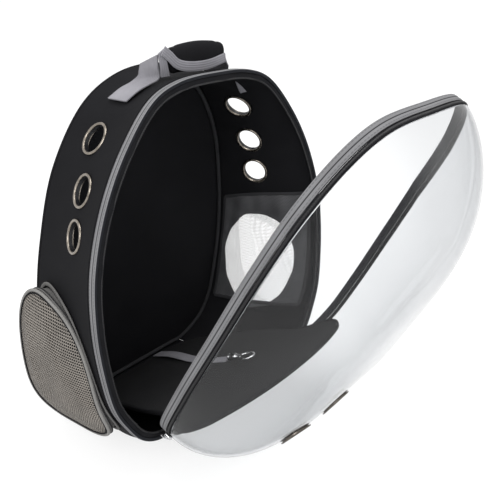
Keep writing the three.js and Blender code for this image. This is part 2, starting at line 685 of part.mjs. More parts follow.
// Where the wall lies at a place near the top: the run for a half width and the depth for a y
function depthAt(run, y) {
  const front = wallPoint(run, 0).y;
  const rear = wallPoint(run, 1).y;
  return (y - front) / (rear - front);
}

function runOverTop(x, y) {
  let low = 0.25;
  let high = 0.5;
  for (let k = 0; k < 40; k += 1) {
    const mid = (low + high) / 2;
    if (wallPoint(mid, depthAt(mid, y)).x > x) low = mid;
    else high = mid;
  }
  return low;
}

// Plain shoulder straps on the back
function shoulderStraps() {
  const behind = (height, gap, thick) => {
    const face = backPlane.at(0, height, -BACK_PAD - BACK_BULGE - GAP);
    return face.y + gap + thick / 2;
  };
  [['left', -1], ['right', 1]].forEach(([name, side]) => {
    const place = (rows, thick) => rows.map(({ x, height, gap }) =>
      v(side * x, behind(height, gap, thick), height));
    const pad = ribbon(place(STRAP_ROWS, STRAP.thick), v(1, 0, 0), STRAP.width, STRAP.thick, 14);
    add(`shoulder_strap_${name}`, pad, FABRIC);
    const web = ribbon(place(STRAP_WEB_ROWS, WEBBING.thick), v(1, 0, 0), STRAP.webbing, WEBBING.thick, 8);
    add(`shoulder_webbing_${name}`, web, FABRIC);
  });
}

// A loose corner of webbing that hangs inside the top of the right wall
function innerTab() {
  const { x, depth, width, drop, thick, clear } = INNER_TAB;
  const centre = runOverTop(x, wallPoint(0.42, depth).y);
  const half = width / 2 / archLength;
  const under = (run) => wallAt(run, depth, -CLOTH - clear);
  const face = (back) => [under(centre - half), under(centre + half), under(centre).add(v(0, 0, -drop))]
    .map((corner) => corner.add(v(0, back, 0)));
  return loft([face(0), face(thick)], false);
}

// The dome's zip slider with its pull, parked at the left end of the ring's tape
function zipSlider() {
  const { turn, length, width, thick, pull, pullWidth, pullThick } = SLIDER;
  const point = ringLoop.getPointAt(turn);
  const tangent = ringLoop.getTangentAt(turn);
  const along = ringPlane.up.clone().multiplyScalar(tangent.y).add(v(tangent.x, 0, 0));
  const out = v(tangent.y, 0, 0).addScaledVector(ringPlane.up, -tangent.x);
  const middle = RING_BINDING_WIDTH / 2 + GAP + RING_TAPE_WIDTH / 2;
  const centre = ringPlane.at(point.x, point.y, middle);
  const place = (geometry, lift, shift) => {
    geometry.applyMatrix4(new THREE.Matrix4().makeBasis(along, ringPlane.front, out));
    const at = centre.clone().addScaledVector(out, lift).addScaledVector(along, shift);
    return geometry.translate(at.x, at.y, at.z);
  };
  const seat = GAP - 0.6;
  const body = place(new THREE.BoxGeometry(length, width, thick), thick / 2 + seat, 0);
  const tab = place(new THREE.BoxGeometry(pull, pullWidth, pullThick), thick + seat, -pull / 2);
  return fuse([body, tab]);
}

add('bottom_panel', bottomPanel(), FABRIC);
add('back_panel', backPanel(), FABRIC);
add('gusset', gusset([...sideEyelets(), ...windowTools()]), FABRIC);
add('back_seam', backSeam(), TAPE);
rim();
dome();
add('hinge_cloth', hingeCloth(), FABRIC);
mat();
[['left', -1], ['right', 1]].forEach(([name, side]) => {
  add(`inner_mesh_${name}`, innerMesh(side), MESH);
  pocket(side, name);
});
tether();
handle();
shoulderStraps();
add('inner_tab', innerTab(), WEB);
add('zip_slider', zipSlider(), STEEL);

// The origin is under the middle of the whole thing
const extent = new THREE.Box3().setFromObject(part);
part.position.set(0, -(extent.min.y + extent.max.y) / 2, -extent.min.z);

export default part;
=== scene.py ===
"""Looks of a capsule backpack for a small pet: soft black body, clear dome tipped open, mesh side pockets.

Shapes are worked out in millimetres in the bag's own place, with the base at z 0 and the open front at -y.
They are put into metres in the shared frame when they become meshes.
"""
import math

import bmesh
import bpy
import numpy as np
from mathutils import Matrix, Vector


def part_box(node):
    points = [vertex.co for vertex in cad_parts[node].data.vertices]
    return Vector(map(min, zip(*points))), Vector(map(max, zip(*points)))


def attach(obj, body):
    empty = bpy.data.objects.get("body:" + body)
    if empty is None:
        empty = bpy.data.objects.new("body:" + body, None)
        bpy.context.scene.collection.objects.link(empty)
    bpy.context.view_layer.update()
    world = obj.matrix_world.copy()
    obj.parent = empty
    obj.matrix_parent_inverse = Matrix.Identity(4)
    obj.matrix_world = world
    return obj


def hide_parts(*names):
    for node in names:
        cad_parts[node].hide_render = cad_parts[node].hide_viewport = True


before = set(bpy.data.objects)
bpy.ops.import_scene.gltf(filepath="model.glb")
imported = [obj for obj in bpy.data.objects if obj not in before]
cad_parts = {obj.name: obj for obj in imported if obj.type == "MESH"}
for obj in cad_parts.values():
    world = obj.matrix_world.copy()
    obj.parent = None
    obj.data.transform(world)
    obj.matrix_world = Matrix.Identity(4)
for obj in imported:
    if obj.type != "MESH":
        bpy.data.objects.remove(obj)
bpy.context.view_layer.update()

# Sizes of the body and the dome, in millimetres
GAP = 0.4
CLOTH = 3.0
BASE_HALF = 80.0
BASE_RISE = 3.0
BASE_LAP = dict(front=1.0, rear=3.0, side=0.5)
RIM_BASE = 45.0
RIM_BASE_HALF = 95.0
RIM_LEAN = 7.4
BOW = dict(depth=0.34, fade=110.0)
BACK_Y = 171.0
BACK_LEAN = -3.9
BACK_PAD = 4.0
BACK_BULGE = 6.0
BACK_MIDDLE = 190.0
BACK_CHANNEL = dict(x=40.0, half=3.0, reach=0.86, half_reach=0.012, deep=2.6, last=0.95)
PAD_EDGE = 0.012
SIDE_SAG = 5.0
BINDING_THICK = 3.5
BINDING_GROOVE = 0.7
HALF_BINDING = 4.0
HALF_RING_BINDING = 4.5
RING_FOOT = dict(y=-13.9, z=72.5, lean=-24.75)
RING_TAPE = 4.5
RIM_ZIP = dict(half=(2.9, 0.7), centre=(-6.9, 2.2), wave=0.8, coil=(1.2, 0.9), coil_centre=(-9.2, 2.7))
RING_ZIP = dict(half=(1.1, 2.2), centre=(-1.8, 7.15), wave=0.0, coil=(0.7, 1.4), coil_centre=(-0.5, 7.15))
TOOTH = dict(pitch=2.3, beat=0.22)
SEAM_CORD = 2.4
DOME = dict(depth=98.0, wall=2.0, centre=198.0, drop=24.0, rise=1.57, round=3.4, inset=1.2)
# The eyelet's last two sizes place a dark tube in its hole that paints shade there: how far in it sits, and
# its wall.
EYELET = dict(outer=17.0, hole=14.1, barrel=15.1, rim=1.5, seat=15.9, lap=0.25, shade_tube=0.3, shade_tube_wall=0.2)
VENT_ROWS = dict(right=(-0.06, 0.972), left=(-0.106, 0.91))
LIP = dict(share=0.21, tuck=3.0, front=2.2, swell=1.1, thick=2.0)
WINDOW = dict(y=98.0, z=128.0, half_y=50.0, half_z=68.0, under_pocket=0.92, net_reach=0.985, net_back=0.5)
WINDOW_CREASE = dict(y=96.0, z=122.0, lean=0.3, half=3.0, deep=0.9, sag=0.2)
POCKET = dict(
    run=141.0, half_run=71.0, taper=10.0, tilt=18.0, depth=0.49, half_depth=0.43, lean=0.08, square=3.0,
)
POCKET_SIDE = dict(seat=1.25, foot=0.95, stand=17.0, flare=11.0, fall=6.0, bulge=13.0)
POCKET_RIDGE = dict(y=110.0, z=90.0, lean=0.353, half=9.0, tall=3.5)
POCKET_ZIP = dict(up=0.7, teeth=350, beat=0.25)
POCKET_REACH = dict(net=0.985, seam=0.968)
POCKET_SHEET = dict(net=0.6, band=1.4)
POCKET_CORD = dict(piping=(1.7, 1.7), seam=(0.8, 0.8), tape=(0.6, 1.8), coil=(0.7, 1.1), base=(2.0, 1.1))
POCKET_LIFT = dict(net=-0.4, piping=-0.2, seam=0.3, tape=1.0, coil=1.7, base=1.0)
POCKET_INSIDE = (100.0, 90.0, 130.0)
INNER_MESH = dict(run=163.0, half_run=81.0, margin=0.05625, clear=1.0, square=0.92, fold_z=110.0, rise=90.0)
INNER_TOP = dict(wave=4.0, rate=3.2, start=0.6, above=0.8)
INNER_HEM = dict(half=(2.4, 0.8), back=0.6)
INNER_TAB = dict(x=84.0, run=0.42, depth=0.3, half=13.0, drop=8.0, clear=1.1, thick=1.2)
MAT = dict(y=161.5, z=4.3, pitch=23.85, thick=4.0, binding=3.0, middle=120.0)
GRIP = dict(y=76.0, z=414.5, length=80.0, tall=26.0, thick=13.0, bow=3.0, end=0.35)
GRIP_PINCH = dict(at=0.72, half=0.09, deep=0.05)
GRIP_TRIM = dict(half=(4.8, 0.6), up=5.0, clear=0.6, tail=1.2)
WEBBING = dict(thick=1.6, lie=2.1)
STRAP = dict(width=62.0, thick=11.0, webbing=25.0, end=0.3)
STRAP_GROOVE = dict(at=25.0, half=1.6, deep=0.22)
TETHER = dict(width=15.0, thick=1.5)
CLIP = dict(wire=1.6, ring=8.0, barrel=4.0, length=33.0, stretch=1.15)

# Outlines: height up the plane, half width
RIM_ROWS = (
    (45, 0), (45, 60), (45, 95), (50, 130), (62, 149), (84, 164), (110, 176), (150, 182.5),
    (198, 184), (250, 177), (304, 156), (350, 125), (387, 86), (399, 52), (402, 0),
)
BACK_ROWS = (
    (0, 0), (0, 60), (0, 80), (20, 119), (50, 138), (110, 147),
    (170, 148), (230, 141), (305, 122), (364, 84), (387, 45), (394, 0),
)
RING_ROWS = (
    (0, 0), (0, 110), (9, 132), (33, 152), (88, 156), (166, 150),
    (244, 143), (304, 130), (346, 105), (366, 74), (371, 0),
)
MAT_ROWS = (
    (0, 0), (0, 52), (12, 73), (34, 91), (69, 103), (121, 112), (165, 114), (186, 113),
    (198, 123), (210, 137), (224, 138), (238, 124), (249, 90), (256, 45), (258, 0),
)
# Handle trim: x along the grip, rise above its lowest line
HANDLE_TRIM = ((-52, 17), (-43, 11), (-34, 4), (-23, 0.5), (-4, -1.5), (14, -1), (37, 3))
# Handle webbing above the wall: x, y, z of its front edge and of its rear edge
HANDLE_FALL = dict(
    left=((-57, 72, 420, -49, 103, 407), (-55, 73, 408, -50, 104, 400), (-52, 74, 398.5, -50, 105, 396)),
    right=((44, 74, 409, 45, 104, 405), (47, 74, 403, 47, 104, 400), (51, 75, 399, 49, 105, 396.5)),
)
# Handle webbing on the wall: half width of the bag and y of its front edge and of its rear edge
HANDLE_FOOT = ((56, 79, 52, 111), (69, 81.5, 64, 113.5), (82.5, 84, 77, 116))
# Trim's tail beside the grip: x, y, z of its two edges
HANDLE_TAIL = (
    (-57, 69.5, 421, -50, 69, 425), (-54, 70, 409, -45, 69.5, 410), (-51.5, 71.5, 399, -40.5, 71, 399),
)
# Side eyelets: height, share of the wall's depth
EYELET_ROWS = dict(
    right=((256, 0.56), (299, 0.56), (345, 0.54)),
    left=((263, 0.4), (303, 0.42), (344, 0.55)),
)
# Tether on the mat: x, height up the mat, lift
TETHER_ROWS = ((24, 6, 0), (20, 40, 2), (10, 100, 0), (15, 148, 0))
# Swivel of the snap hook: radius as a share of the barrel's, height
CLIP_ROWS = (
    (0, 0), (0.8, 0), (1, 0.6), (1, 2.4), (0.8, 3.2), (0.8, 4.2), (1, 5),
    (1, 11), (0.9, 12), (0.6, 13.5), (0.6, 19), (0.5, 20), (0, 20),
)
# Thumb catch of the snap hook: height, distance from the axis
CATCH_ROWS = ((13, 2.0), (16, 4.2), (19, 4.6))
# Zip slider's body, pull and bridge: length, width, thickness, lift, shift along the zip, squareness
SLIDER_ROWS = ((11, 8, 3.2, 0, 0, 4), (20, 5, 1.4, 2.5, -10, 5), (6, 3, 2.0, 2.6, 0, 3))
SLIDER_SHARE = 0.875
# Shoulder straps and their webbing: x, height, gap behind the back panel
STRAP_ROWS = ((46, 358, -4.4), (52, 300, 16), (60, 220, 26), (72, 150, 20))
STRAP_WEB_ROWS = ((73, 148.6, 25.5), (84, 108.5, 12), (96, 64.5, 4), (100, 48.5, -3))

# Sine waves: height, rate along the first measure and along the second, start
WALL_RIPPLE = ((0.6, 17, 0.4, 0), (0.4, 31, -0.7, 0))
RIPPLE_FADE = dict(hole=20.0, z=190.0, rise=60.0)
TAPE_WAVES = ((0.35, 23, 0, 0), (0.25, 41, 0, 1))
LIP_FOLDS = ((1.0, 9, 2, 0), (0.6, 17, 0, 0))
WINDOW_WAVES = ((0.012, 7, 0, 0), (0.008, 12, 0, 1))
MAT_DENTS = ((0.3, 1 / 19, 1 / 31, 0), (0.2, -1 / 27, 1 / 13, 0))
INNER_FOLDS = ((1.3, 1 / 4.2, 1 / 60, 0), (1.0, 1 / 7.5, -1 / 90, 0))

# The photograph's view in degrees and millimetres, and the lamps in metres: name, place, size, watts
VIEW = dict(turn=-52.86, rise=26.37, roll=3.17, away=701.68, height=210.0, lens=47.67, shift=(0.0093, 0.0288))
LAMPS = (("left_softbox", (-1.6, -0.6, 1.5), 1.2, 28), ("top_softbox", (0.2, -0.2, 2.2), 1.6, 26))
LIT_PLACE = np.array([0, 0, 0.2])
FLOOR_HALF = 15.0
FLOOR_GLOW = 0.75
SKY_LIGHT = 1.04

MM = 0.001
TURN = 2 * math.pi
ACROSS = np.array([1.0, 0, 0])
REARWARD = np.array([0, 1.0, 0])
UPRIGHT = np.array([0, 0, 1.0])
BASE_REAR = BACK_Y - GAP - 0.6
SHIFT = np.array([0.0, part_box("bottom_panel")[1][1] / MM - BASE_REAR, 0.0])
BAG_MIDDLE = np.array([0.0, 90.0, 190.0])
SIDES = (("right", 1), ("left", -1))


class Line:
    """A smooth line through points, read by the share of its length.

    Each span is a cubic whose end slopes come from the neighbouring points, weighted by the square roots of
    the distances between them.
    """

    def __init__(self, points, closed=False, fine=48):
        p = np.asarray(points, float)
        lead, tail = (p[-1:], p[:2]) if closed else (2 * p[:1] - p[1:2], 2 * p[-1:] - p[-2:-1])
        q = np.concatenate([lead, p, tail])
        a, b, c, d = q[:-3], q[1:-2], q[2:-1], q[3:]
        near, span, far = (np.sqrt(np.linalg.norm(k, axis=1))[:, None] for k in (b - a, c - b, d - c))
        leave = ((b - a) / near - (c - a) / (near + span) + (c - b) / span) * span
        arrive = ((c - b) / span - (d - b) / (span + far) + (d - c) / far) * span
        t = np.linspace(0, 1, fine, endpoint=False)[:, None, None]
        spots = (2 * t**3 - 3 * t**2 + 1) * b + (t**3 - 2 * t**2 + t) * leave
        spots = spots + (3 * t**2 - 2 * t**3) * c + (t**3 - t**2) * arrive
        last = p[:1] if closed else p[-1:]
        self.spots = np.concatenate([spots.transpose(1, 0, 2).reshape(-1, p.shape[1]), last])
        self.marks = np.concatenate([[0], np.cumsum(np.linalg.norm(np.diff(self.spots, axis=0), axis=1))])
        self.length = self.marks[-1]
        self.closed = closed
        slopes = np.gradient(self.spots, self.marks, axis=0)
        if closed:
            slopes[[0, -1]] = (slopes[0] + slopes[-1]) / 2
        self.slopes = slopes / np.linalg.norm(slopes, axis=1, keepdims=True)

    def read(self, table, share):
        share = np.asarray(share, float)
        place = (share % 1.0 if self.closed else np.clip(share, 0, 1)) * self.length
        return np.stack([np.interp(place, self.marks, column) for column in table.T], axis=-1)

    def at(self, share):
        return self.read(self.spots, share)

    def along(self, share):
        return self.read(self.slopes, share)


class Bed:
    """A leaning plane across the bag: height runs up its lean and depth out of its front face."""

    def __init__(self, y, z, lean):
        turn = math.radians(lean)
        self.foot = np.array([0.0, y, z])
        self.up = np.array([0.0, math.sin(turn), math.cos(turn)])
        self.front = np.array([0.0, -math.cos(turn), math.sin(turn)])

    def at(self, x, height, depth):
        x, height, depth = (np.asarray(k, float)[..., None] for k in (x, height, depth))
        return self.foot + x * ACROSS + height * self.up + depth * self.front


def loop_of(rows):
    """A whole outline, from the middle of its base round by the right side and back by the left."""
    right = [(half, height) for height, half in rows]
    return Line(right + [(-x, height) for x, height in right[-2:0:-1]], closed=True)


def arch_of(rows):
    """The same outline without its flat base."""
    right = [(half, height) for height, half in rows[2:]]
    return Line(right + [(-x, height) for x, height in right[-2::-1]])


RIM = Bed(0, BASE_RISE, RIM_LEAN)
BACK = Bed(BACK_Y, BASE_RISE, BACK_LEAN)
RING = Bed(**RING_FOOT)
MAT_BED = Bed(MAT["y"], MAT["z"], MAT["pitch"] - 90)
RIM_LOOP, BACK_LOOP, RING_LOOP, MAT_LOOP = (loop_of(k) for k in (RIM_ROWS, BACK_ROWS, RING_ROWS, MAT_ROWS))
RIM_ARCH, BACK_ARCH = arch_of(RIM_ROWS), arch_of(BACK_ROWS)
WALL_FRONT = RIM_BASE * RIM.up[1] + HALF_BINDING + 3 * GAP


def unit(vectors):
    return vectors / np.maximum(np.linalg.norm(vectors, axis=-1, keepdims=True), 1e-9)


def lattice(rows, cols):
    """Two arrays of shares from 0 to 1, one down the rows and one along the columns."""
    return np.meshgrid(np.linspace(0, 1, rows + 1), np.linspace(0, 1, cols + 1), indexing="ij")


def waves(rows, u, v):
    """A sum of sine waves over two measures."""
    return sum(height * np.sin(along * u + across * v + start) for height, along, across, start in rows)


def swell(value, middle, half):
    """A bell of height 1 about a middle."""
    return np.exp(-((value - middle) / half) ** 2)


def narrowed(value, place):
    """A size of 1 with a dip about a place."""
    return 1 - place["deep"] * swell(value, place["at"], place["half"])


def crease(points, line):
    """A bell of height 1 about a line on the side that leans back as it rises."""
    return swell(points[..., 1] - line["lean"] * (points[..., 2] - line["z"]), line["y"], line["half"])


def solve(rising, target, low, high):
    """The place between low and high at which a rising function reaches a target, by halving."""
    target = np.asarray(target, float)
    low, high = np.full(target.shape, float(low)), np.full(target.shape, float(high))
    for _ in range(40):
        middle = (low + high) / 2
        below = rising(middle) < target
        low, high = np.where(below, middle, low), np.where(below, high, middle)
    return low


def mirrored(run, side):
    """A run on the right side, or the same place on the left side."""
    return run if side > 0 else 1 - run


def bow_rise(depth):
    """Share of the rim's base height at which the bottom lies: a parabola that falls to the floor."""
    return np.maximum(0, 1 - depth / BOW["depth"]) ** 2


def wall_point(run, depth):
    """The side wall's outer face: straight from the rim to the back, sagging inwards as a parabola of depth.

    Near its ends it hangs down to the bottom's bow.
    """
    run, depth = np.broadcast_arrays(np.asarray(run, float), np.asarray(depth, float))
    a, b, slope = RIM_ARCH.at(run), BACK_ARCH.at(run), RIM_ARCH.along(run)
    front = RIM.at(a[..., 0], a[..., 1], -HALF_BINDING - 3 * GAP)
    rear = BACK.at(b[..., 0], b[..., 1], 2 * GAP)
    out = np.stack([slope[..., 1], 0 * run, -slope[..., 0]], axis=-1)
    near_end = np.minimum(run, 1 - run)
    sag = 4 * SIDE_SAG * np.minimum(1, 8 * near_end) * depth * (1 - depth)
    low = np.maximum(0, 1 - near_end * RIM_ARCH.length / BOW["fade"]) ** 2
    droop = RIM_BASE * (1 - depth - bow_rise(depth)) * low
    return front + (rear - front) * depth[..., None] - out * sag[..., None] - droop[..., None] * UPRIGHT


def wall_normal(run, depth):
    """Across times along, from small steps both ways."""
    step = 1e-3
    along = wall_point(np.minimum(1, run + step), depth) - wall_point(np.maximum(0, run - step), depth)
    across = wall_point(run, np.minimum(1, depth + step)) - wall_point(run, np.maximum(0, depth - step))
    return unit(np.cross(across, along))


def wall(run, depth, lift):
    """A place off the side wall's outer face."""
    run, depth, lift = (np.asarray(k, float) for k in (run, depth, lift))
    return wall_point(run, depth) + wall_normal(run, depth) * lift[..., None]


def depth_at(run, y):
    """The share of the wall's depth at which it reaches a y."""
    front, rear = wall_point(run, 0)[..., 1], wall_point(run, 1)[..., 1]
    return (y - front) / (rear - front)


def wall_place(side, y, z):
    """Run and depth of the wall at a y and z on its lower side."""
    y, z = np.asarray(y, float), np.asarray(z, float)
    run = solve(lambda r: wall_point(r, depth_at(r, y))[..., 2], z, 0, 0.5)
    return mirrored(run, side), depth_at(run, y)


def run_over_top(x, y):
    """Run at which the top of the wall reaches a half width."""
    return solve(lambda r: -wall_point(r, depth_at(r, y))[..., 0], -np.asarray(x, float), 0.25, 0.5)


def spread(middle, first, second, section):
    """A section set out at each of a row of points, its two measures along two directions."""
    return middle[:, None] + section[..., :1] * first[:, None] + section[..., 1:] * second[..., None, :]


def edge_of(bed, line, shares):
    """Points of an outline in its plane, and the directions out of it."""
    p, slope = line.at(shares), line.along(shares)
    return bed.at(p[..., 0], p[..., 1], 0), slope[..., 1:] * ACROSS - slope[..., :1] * bed.up


def carried(bed, line, shares, section):
    """A section, measured outwards and to the front, carried along an outline in its plane."""
    return spread(*edge_of(bed, line, shares), bed.front, section)


def squared(value, square):
    """A sine or cosine made squarer: an ellipse becomes a rounded box where square is above 2."""
    return np.sign(value) * np.abs(value) ** (2 / square)


def oval(half_a, half_b, sides, square=2.0, centre=(0.0, 0.0)):
    """A closed section: an ellipse or a rounded box."""
    turn = np.linspace(0, TURN, sides + 1)
    a = squared(np.cos(turn), square) * half_a + centre[0]
    b = squared(np.sin(turn), square) * half_b + centre[1]
    return np.stack([a, b], axis=-1)


def swept(points, across, sections, steps):
    """A section carried along a line of points, its first measure along a direction, with closed ends."""
    line = Line(points)
    share = np.linspace(0, 1, steps + 1)
    slope = line.along(share)
    side = unit(across - slope * (slope @ across)[:, None])
    return capped(spread(line.at(share), side, np.cross(slope, side), sections))


def between(first, second, steps=60, across=16):
    """A sheet between two edges, each a smooth line through points."""
    share = np.linspace(0, 1, steps + 1)
    a, b = Line(first).at(share), Line(second).at(share)
    return a[:, None] + (b - a)[:, None] * np.linspace(0, 1, across + 1)[None, :, None]


def capped(grid):
    """Adds a row at each end in which the section has shrunk to its middle."""
    ends = [np.broadcast_to(row.mean(axis=0), grid[:1].shape) for row in (grid[0, :-1], grid[-1, :-1])]
    return np.concatenate([ends[0], grid, ends[1]])


def flat_measure(grid):
    """Millimetres along the rows and along the columns of a grid, averaged over the other way."""
    down = np.linalg.norm(np.diff(grid, axis=0), axis=-1).mean(axis=1)
    along = np.linalg.norm(np.diff(grid, axis=1), axis=-1).mean(axis=0)
    u, v = np.concatenate([[0], np.cumsum(down)]), np.concatenate([[0], np.cumsum(along)])
    return np.stack(np.meshgrid(u, v, indexing="ij"), axis=-1)


def added(name, data):
    """A new object in the scene."""
    made = bpy.data.objects.new(name, data)
    bpy.context.scene.collection.objects.link(made)
    return made


def piece(
    name, grids, finish, stands_for=(), flat=None, thick=0.0, inside=None, keep=None, sharp=45
):
    """A mesh of quads over one or more grids of points, turned outwards, with seams and poles merged.

    A sheet gets its thickness inwards, away from the side that faces out of the bag.
    """
    grids = grids if isinstance(grids, list) else [grids]
    flats = [flat_measure(grid) for grid in grids] if flat is None else [flat]
    points, faces, places, start = [], [], [], 0
    for grid, laid in zip(grids, flats):
        spot = np.arange(grid.shape[0] * grid.shape[1]).reshape(grid.shape[:2])
        quads = np.stack([spot[:-1, :-1], spot[1:, :-1], spot[1:, 1:], spot[:-1, 1:]], -1).reshape(-1, 4)
        if keep is not None:
            quads = quads[keep.ravel()]
        co = grid.reshape(-1, 3)
        a, b, c, d = (co[quads[:, k]] for k in range(4))
        centre = inside
        if inside is None:
            centre = BAG_MIDDLE if thick else co.mean(axis=0)
        if (np.cross(c - a, d - b) * ((a + b + c + d) / 4 - centre)).sum() < 0:
            quads = quads[:, ::-1]
        points.append((co + SHIFT) * MM)
        faces.append(quads + start)
        places.append(laid.reshape(-1, 2))
        start += len(co)
    points, faces, places = np.concatenate(points), np.concatenate(faces), np.concatenate(places)
    mesh = bpy.data.meshes.new(name)
    mesh.from_pydata(points.tolist(), [], faces.tolist())
    mesh.uv_layers.new(name="flat").data.foreach_set("uv", places[faces.ravel()].astype(np.float32).ravel())
    shell = bmesh.new()
    shell.from_mesh(mesh)
    bmesh.ops.remove_doubles(shell, verts=shell.verts, dist=2e-6)
    loose = [v for v in shell.verts if not v.link_faces]
    bmesh.ops.delete(shell, geom=loose, context="VERTS")
    shell.to_mesh(mesh)
    shell.free()
    mesh.polygons.foreach_set("use_smooth", np.ones(len(mesh.polygons), bool))
    mesh.set_sharp_from_angle(angle=math.radians(sharp))
    mesh.materials.append(finish)
    made = added(name, mesh)
    if thick:
        wall_of = made.modifiers.new("thickness", "SOLIDIFY")
        wall_of.thickness = thick * MM
        wall_of.offset = -1
        wall_of.use_even_offset = False
    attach(made, "root")
    if stands_for:
        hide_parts(*stands_for)
    return made


# Finishes
def tone(red, green, blue):
    """An 8-bit screen colour as linear light."""
    c = np.array([red, green, blue]) / 255
    return (*np.where(c <= 0.04045, c / 12.92, ((c + 0.055) / 1.055) ** 2.4), 1.0)


def feed(made, feeds):
    """Sets a node's inputs: a socket is linked and a plain value is written in."""
    for key, value in feeds.items():
        if isinstance(value, bpy.types.NodeSocket):
            made.id_data.links.new(value, made.inputs[key])
        else:
            made.inputs[key].default_value = value


def node(tree, kind, feeds=None, **settings):
    made = tree.nodes.new(kind)
    for key, value in settings.items():
        setattr(made, key, value)
    feed(made, feeds or {})
    return made


def calc(tree, operation, *feeds):
    return node(tree, "ShaderNodeMath", dict(enumerate(feeds)), operation=operation).outputs[0]


def mixed(tree, share, low, high):
    """A blend of two colours, each a socket or an 8-bit screen colour."""
    low, high = (k if isinstance(k, bpy.types.NodeSocket) else tone(*k) for k in (low, high))
    return node(tree, "ShaderNodeMix", {0: share, 6: low, 7: high}, data_type="RGBA").outputs[2]


def weighed(tree, first, share, second):
    """A share of one value and the rest of another."""
    return calc(tree, "MULTIPLY_ADD", first, share, calc(tree, "MULTIPLY", second, 1 - share))


def ranged(tree, value, low, high, start=0.0, end=1.0):
    feeds = {"Value": value, "From Min": start, "From Max": end, "To Min": low, "To Max": high}
    return node(tree, "ShaderNodeMapRange", feeds).outputs[0]


def split(tree, vector):
    return node(tree, "ShaderNodeSeparateXYZ", {0: vector}).outputs


def placed(tree, group, feeds):
    return node(tree, "ShaderNodeGroup", feeds, node_tree=group).outputs[0]


def new_group(name, gives, **takes):
    """An empty node group with one value as its result."""
    tree = bpy.data.node_groups.new(name, "ShaderNodeTree")
    for label, kind in takes.items():
        tree.interface.new_socket(label, in_out="INPUT", socket_type="NodeSocket" + kind)
    tree.interface.new_socket(gives, in_out="OUTPUT", socket_type="NodeSocketFloat")
    return tree, tree.nodes.new("NodeGroupInput").outputs, tree.nodes.new("NodeGroupOutput")


def weave_group():
    """Crossing threads: the product of two sine waves, one each way, a thread's width apart."""
    tree, given, result = new_group("weave", "Height", Place="Vector", Thread="Float")
    place = split(tree, given["Place"])
    turn = calc(tree, "DIVIDE", math.pi, given["Thread"])
    waves_of = [calc(tree, "SINE", calc(tree, "MULTIPLY", place[k], turn)) for k in (0, 1)]
    feed(result, {"Height": calc(tree, "MULTIPLY_ADD", calc(tree, "MULTIPLY", *waves_of), 0.5, 0.5)})
    return tree


def mottle_group():
    """Soft uneven patches of a given size."""
    tree, given, result = new_group("mottle", "Value", Place="Vector", Size="Float")
    scale = calc(tree, "DIVIDE", 1000.0, given["Size"])
    cloud = node(tree, "ShaderNodeTexNoise", {"Vector": given["Place"], "Scale": scale, "Detail": 4.0})
    feed(result, {"Value": ranged(tree, cloud.outputs[0], -0.4, 1.4)})
    return tree


def net_group():
    """Rows of round holes, every other row half a step aside: 1 on the thread and 0 in a hole."""
    tree, given, result = new_group("net", "Thread", Place="Vector", Pitch="Float", Hole="Float")
    place = split(tree, given["Place"])
    u, v = (calc(tree, "DIVIDE", place[k], given["Pitch"]) for k in (0, 1))
    aside = calc(tree, "MULTIPLY", calc(tree, "FLOORED_MODULO", calc(tree, "FLOOR", v), 2.0), 0.5)
    cells = [calc(tree, "SUBTRACT", calc(tree, "FRACT", k), 0.5) for k in (calc(tree, "ADD", u, aside), v)]
    squares = [calc(tree, "MULTIPLY", k, k) for k in cells]
    away = calc(tree, "SQRT", calc(tree, "ADD", *squares))
    soft = calc(tree, "MULTIPLY_ADD", calc(tree, "SUBTRACT", away, given["Hole"]), 12.0, 0.5)
    feed(result, {"Thread": node(tree, "ShaderNodeClamp", {0: soft}).outputs[0]})
    return tree


def ribs_group():
    """Even ridges: half a sine wave for each rib."""
    tree, given, result = new_group("ribs", "Height", Across="Float", Rib="Float")
    turn = calc(tree, "MULTIPLY", calc(tree, "DIVIDE", given["Across"], given["Rib"]), math.pi)
    feed(result, {"Height": calc(tree, "ABSOLUTE", calc(tree, "SINE", turn))})
    return tree


def stitch_group():
    """A dashed line at a place across the piece: 1 on the thread."""
    takes = dict.fromkeys(("Along", "Across", "Line", "Step"), "Float")
    tree, given, result = new_group("stitch", "Mask", **takes)
    off = calc(tree, "ABSOLUTE", calc(tree, "SUBTRACT", given["Across"], given["Line"]))
    near = calc(tree, "LESS_THAN", off, 0.4)
    step = calc(tree, "FRACT", calc(tree, "DIVIDE", given["Along"], given["Step"]))
    feed(result, {"Mask": calc(tree, "MULTIPLY", near, calc(tree, "LESS_THAN", step, 0.7))})
    return tree


WEAVE, MOTTLE, NET, RIBS, STITCH = weave_group(), mottle_group(), net_group(), ribs_group(), stitch_group()


def begin(name, patch, rough=0.7, metallic=0.0, specular=0.5):
    """A new material, its shader, the piece's flat measure and uneven patches over its body."""
    mat = bpy.data.materials.new(name)
    mat.use_nodes = True
    tree = mat.node_tree
    skin = tree.nodes["Principled BSDF"]
    feed(skin, {"Roughness": rough, "Metallic": metallic, "Specular IOR Level": specular})
    flat = node(tree, "ShaderNodeUVMap", uv_map="flat").outputs[0]
    body = node(tree, "ShaderNodeTexCoord").outputs["Object"]
    return mat, tree, skin, flat, placed(tree, MOTTLE, {"Place": body, "Size": patch})


def dress(skin, shade, patches, rough, height, deep, strength=0.6):
    """Gives a shader its colour, a gloss that follows the patches, and its relief."""
    tree = skin.id_data
    bump = node(tree, "ShaderNodeBump", {"Height": height, "Distance": deep * MM, "Strength": strength})
    feed(skin, {"Base Color": shade, "Roughness": ranged(tree, patches, *rough), "Normal": bump.outputs[0]})


def cloth(name, low, high, thread=0.9, patch=45.0, rough=(0.75, 0.92), deep=0.25, specular=0.06):
    """Woven cloth: threads in relief, and uneven patches in its colour and gloss."""
    mat, tree, skin, flat, patches = begin(name, patch, specular=specular)
    threads = placed(tree, WEAVE, {"Place": flat, "Thread": thread})
    shade = mixed(tree, weighed(tree, patches, 0.65, threads), low, high)
    dress(skin, shade, patches, rough, threads, deep)
    return mat


